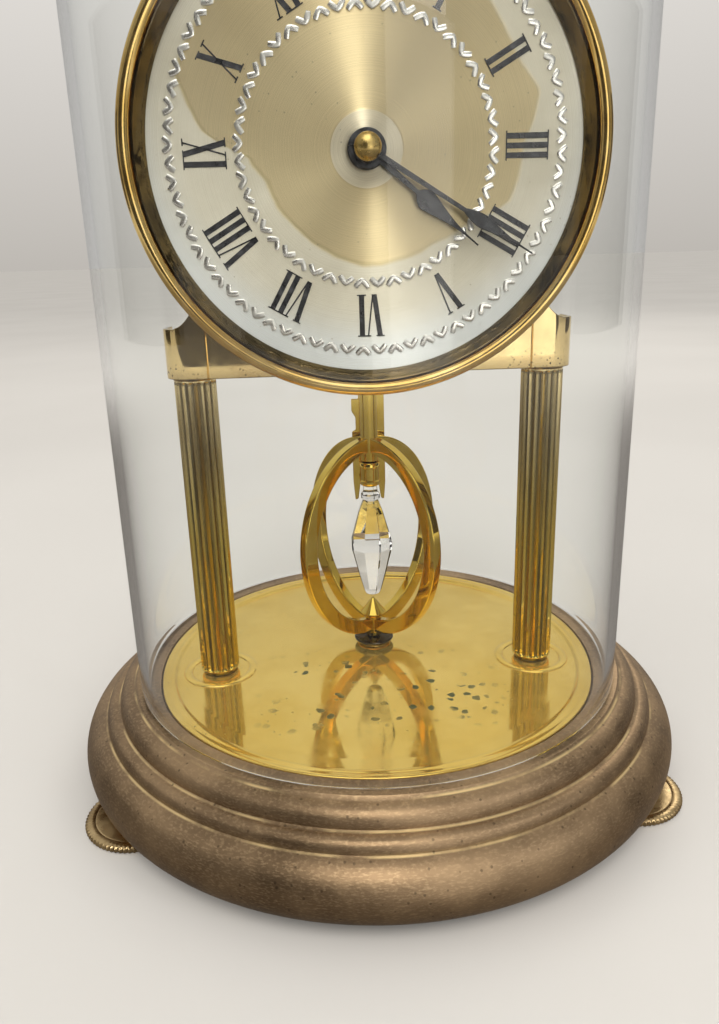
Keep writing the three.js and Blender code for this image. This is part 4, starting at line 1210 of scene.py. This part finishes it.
def build_battery():
    low, high = size_of("battery")
    r, cap = (high.z - low.z) / 2, high.x - 1.4
    y, z = (low.y + high.y) / 2, (low.z + high.z) / 2
    cell = [(0, low.x), (r - 0.6, low.x), (r, low.x + 0.7), (r, high.x - 2.2), (r - 0.3, high.x - 1.6),
            (r - 0.9, cap), (2.9, cap), (2.7, cap + 0.2), (2.7, high.x - 0.2), (2.4, high.x), (0, high.x)]
    verts, faces = turned(cell, 96)
    lying = [(c, y + a, z + b) for a, b, c in verts]
    add_piece("cell", lying, faces, "battery", CELL, ("battery",))


def build_set_knob():
    low, high = size_of("set_knob")
    centre = ((low.x + high.x) / 2, (low.z + high.z) / 2)
    knurls = 24
    floor = high.y - 0.5
    profile = [(1.3, low.y), (5.6, low.y), (6, low.y + 0.3), (6, floor), (5.5, high.y), (4.2, high.y),
               (3.9, floor), (1.5, floor), (1.3, high.y - 0.7)]
    verts, faces = turned(profile, knurls * 6, centre, across=True)
    verts = knurled(verts, centre, knurls, 0.06, 5.3, across=True)
    add_piece("thumb_wheel", verts, faces, "minute_wheel", WHITE_PLASTIC, ("set_knob",))


# Solids inside the movement whose edges only need softening: how far, of what, and which.
SOFTENED = (
    (0.07, WHITE_PLASTIC, ("hour_wheel", "centre_wheel", "minute_wheel", "third_wheel", "fourth_wheel")),
    (0.2, WHITE_PLASTIC, ("train_bridge",)),
    (0.1, BOARD, ("circuit_board",)),
    (0.06, STEEL, ("cannon_pinion", "quartz_can", "motor_stator", "battery_contact_minus",
                   "battery_contact_plus", "suspension_block", "suspension_strip")),
    (0.06, DARK, ("motor_rotor",)),
    (0.15, COPPER, ("motor_coil", "drive_coil")),
)


def build_movement():
    """The case, the battery, the knob and then what is inside."""
    softened("movement_case_front", 0.9, BLACK_PLASTIC)
    softened("movement_case_back", 0.6, BLACK_PLASTIC)
    build_case_details()
    build_battery()
    build_set_knob()
    for width, material, nodes in SOFTENED:
        for node in nodes:
            softened(node, width, material)


# ---- Room ----
def in_reflections(paint, direct):
    """Shows the paint's own shader in polished metal, and the direct shader everywhere else."""
    paint.blend(paint.in_mirrors(), direct, paint.shader.outputs[0])


def flat_panel(name, corners, material):
    mesh = bpy.data.meshes.new(name)
    mesh.from_pydata(corners, [], [(0, 1, 2, 3)])
    mesh.materials.append(material)
    panel = bpy.data.objects.new(name, mesh)
    bpy.context.scene.collection.objects.link(panel)
    return panel


# The backdrop from the horizon up, and how bright polished metal sees it in front, behind and above.
BACKDROP_LOW, BACKDROP_HIGH, BACKDROP_TOP = (0.515, 0.487, 0.45), (0.76, 0.73, 0.69), 0.3
DIM_FRONT, BRIGHT_REAR, BRIGHT_ABOVE = 0.36, 0.62, 0.82


def build_backdrop():
    """A pale backdrop, close to the floor in tone. Polished metal sees it dimmer in front."""
    world = bpy.data.worlds.new("room")
    world.use_nodes = True
    room = Nodes(world.node_tree)
    direction = room.node("ShaderNodeTexCoord").outputs["Generated"]
    _, y, z = room.node("ShaderNodeSeparateXYZ", {0: direction}).outputs
    ramp = room.node("ShaderNodeValToRGB", {0: z})
    low, high = ramp.color_ramp.elements
    low.position, low.color = 0.0, (*BACKDROP_LOW, 1)
    high.position, high.color = BACKDROP_TOP, (*BACKDROP_HIGH, 1)
    seen = room.node("ShaderNodeBackground", {"Color": ramp.outputs[0]})
    rear = room.node("ShaderNodeMapRange", {"Value": z, 1: 0.35, 2: 0.6, 3: BRIGHT_REAR, 4: BRIGHT_ABOVE})
    depth = room.node("ShaderNodeMapRange", {"Value": y, 1: -0.2, 2: 0.5, 3: DIM_FRONT, 4: rear.outputs[0]})
    mirrored = room.tree.nodes["Background"]
    mirrored.inputs["Color"].default_value = (0.80, 0.78, 0.75, 1)
    room.feed(mirrored.inputs["Strength"], depth.outputs[0])
    shaders = {0: room.in_mirrors(), 1: seen.outputs[0], 2: mirrored.outputs[0]}
    both = room.node("ShaderNodeMixShader", shaders)
    room.feed(room.tree.nodes["World Output"].inputs["Surface"], both.outputs[0])
    bpy.context.scene.world = world


def aim(lamp, place):
    lamp.location = place
    lamp.rotation_euler = (Vector((0, 0, 0.13)) - Vector(place)).to_track_quat("-Z", "Y").to_euler()
    bpy.context.scene.collection.objects.link(lamp)


FLOOR_HALF = 60.0

# name, place, width, height, power, colour
LAMPS = (
    ("key", (-0.05, -1.0, 1.35), 0.2, 0.9, 8.5, (1.0, 0.96, 0.90)),
    ("fill", (1.25, -0.9, 1.1), 0.3, 0.8, 2.8, (0.98, 0.98, 1.0)),
    ("front", (0.45, -1.5, 0.55), 0.5, 0.4, 3.6, (1.0, 0.98, 0.95)),
    ("side", (-1.4, -0.2, 1.0), 0.9, 0.9, 1.2, (1.0, 0.98, 0.95)),
    ("rear", (0.5, 1.3, 1.3), 1.0, 1.0, 6, (1.0, 0.95, 0.88)),
)


def build_floor():
    """Pale to the eye. Polished metal sees a dark worktop that brightens further out."""
    worktop_dark, worktop_light, far = (0.20, 0.185, 0.17), (0.24, 0.225, 0.21), (0.86, 0.84, 0.81)
    paper = Paint("floor_paper", worktop_light, 0.0, 0.7)
    mottle = paper.noise(3, 2)
    worktop = paper.mix(mottle, worktop_dark, worktop_light)
    paper.color(paper.mix(paper.band(radius_from(paper, CENTRE_LINE), 0.4, 1.1), worktop, far))
    tone = paper.mix(paper.band(mottle, 0.3, 0.7), (0.58, 0.57, 0.55), (0.61, 0.60, 0.58))
    in_reflections(paper, paper.node("ShaderNodeBsdfDiffuse", {"Color": tone}).outputs[0])
    h = FLOOR_HALF
    flat_panel("floor", [(-h, -h, 0), (h, -h, 0), (h, h, 0), (-h, h, 0)], paper.material)


def build_lamps():
    overhead = bpy.data.lights.new("overhead", "SUN")
    overhead.energy = 0.6
    overhead.angle = math.radians(50)
    overhead.color = (1.0, 0.97, 0.93)
    sun = bpy.data.objects.new("overhead", overhead)
    aim(sun, (-0.1, -0.8, 1.35))
    sun.visible_glossy = False
    for name, place, width, height, power, color in LAMPS:
        light = bpy.data.lights.new(name, "AREA")
        light.shape = "RECTANGLE"
        light.size = width
        light.size_y = height
        light.energy = power
        light.color = color
        lamp = bpy.data.objects.new(name, light)
        aim(lamp, place)
        lamp.visible_transmission = False


def card_material(name, low, high, glow=0.0):
    """A card's surface, which only polished metal sees."""
    paint = Paint(name, high, 0.0, 0.8, Emission_Strength=glow)
    paint.color(paint.mix(paint.noise(4, 2), low, high))
    in_reflections(paint, paint.node("ShaderNodeBsdfTransparent").outputs[0])
    return paint.material


def build_cards():
    dark = card_material("dark_card", (0.04, 0.035, 0.03), (0.07, 0.06, 0.05))
    light = card_material("light_card", (0.86, 0.84, 0.80), (0.92, 0.90, 0.86), glow=0.9)
    for name, material, x, y, width, height, turn in (
            ("card_bright", light, 0.32, -1.0, 0.45, 0.45, 0),
            ("card_front", dark, -0.62, -1.0, 1.2, 0.7, 0),
            ("card_left", dark, -1.5, 0.2, 1.0, 0.6, 90),
            ("card_right", dark, 1.5, 0.3, 1.0, 0.6, 90),
            ("card_front_right", dark, 0.85, -1.2, 0.5, 0.5, -10)):
        half = width / 2
        corners = [(-half, 0, 0), (half, 0, 0), (half, 0, height), (-half, 0, height)]
        card = flat_panel(name, corners, material)
        card.location = (x, y, 0.001)
        card.rotation_euler = (0, 0, math.radians(turn))
        card.visible_shadow = False
        card.visible_diffuse = False


build_floor()
build_backdrop()
build_lamps()
build_cards()
build_base()
build_feet()
build_columns()
build_bracket()
build_dial()
build_numerals()
build_chevrons()
build_hands()
build_pendulum()
build_movement()
build_dome()

bpy.context.view_layer.update()
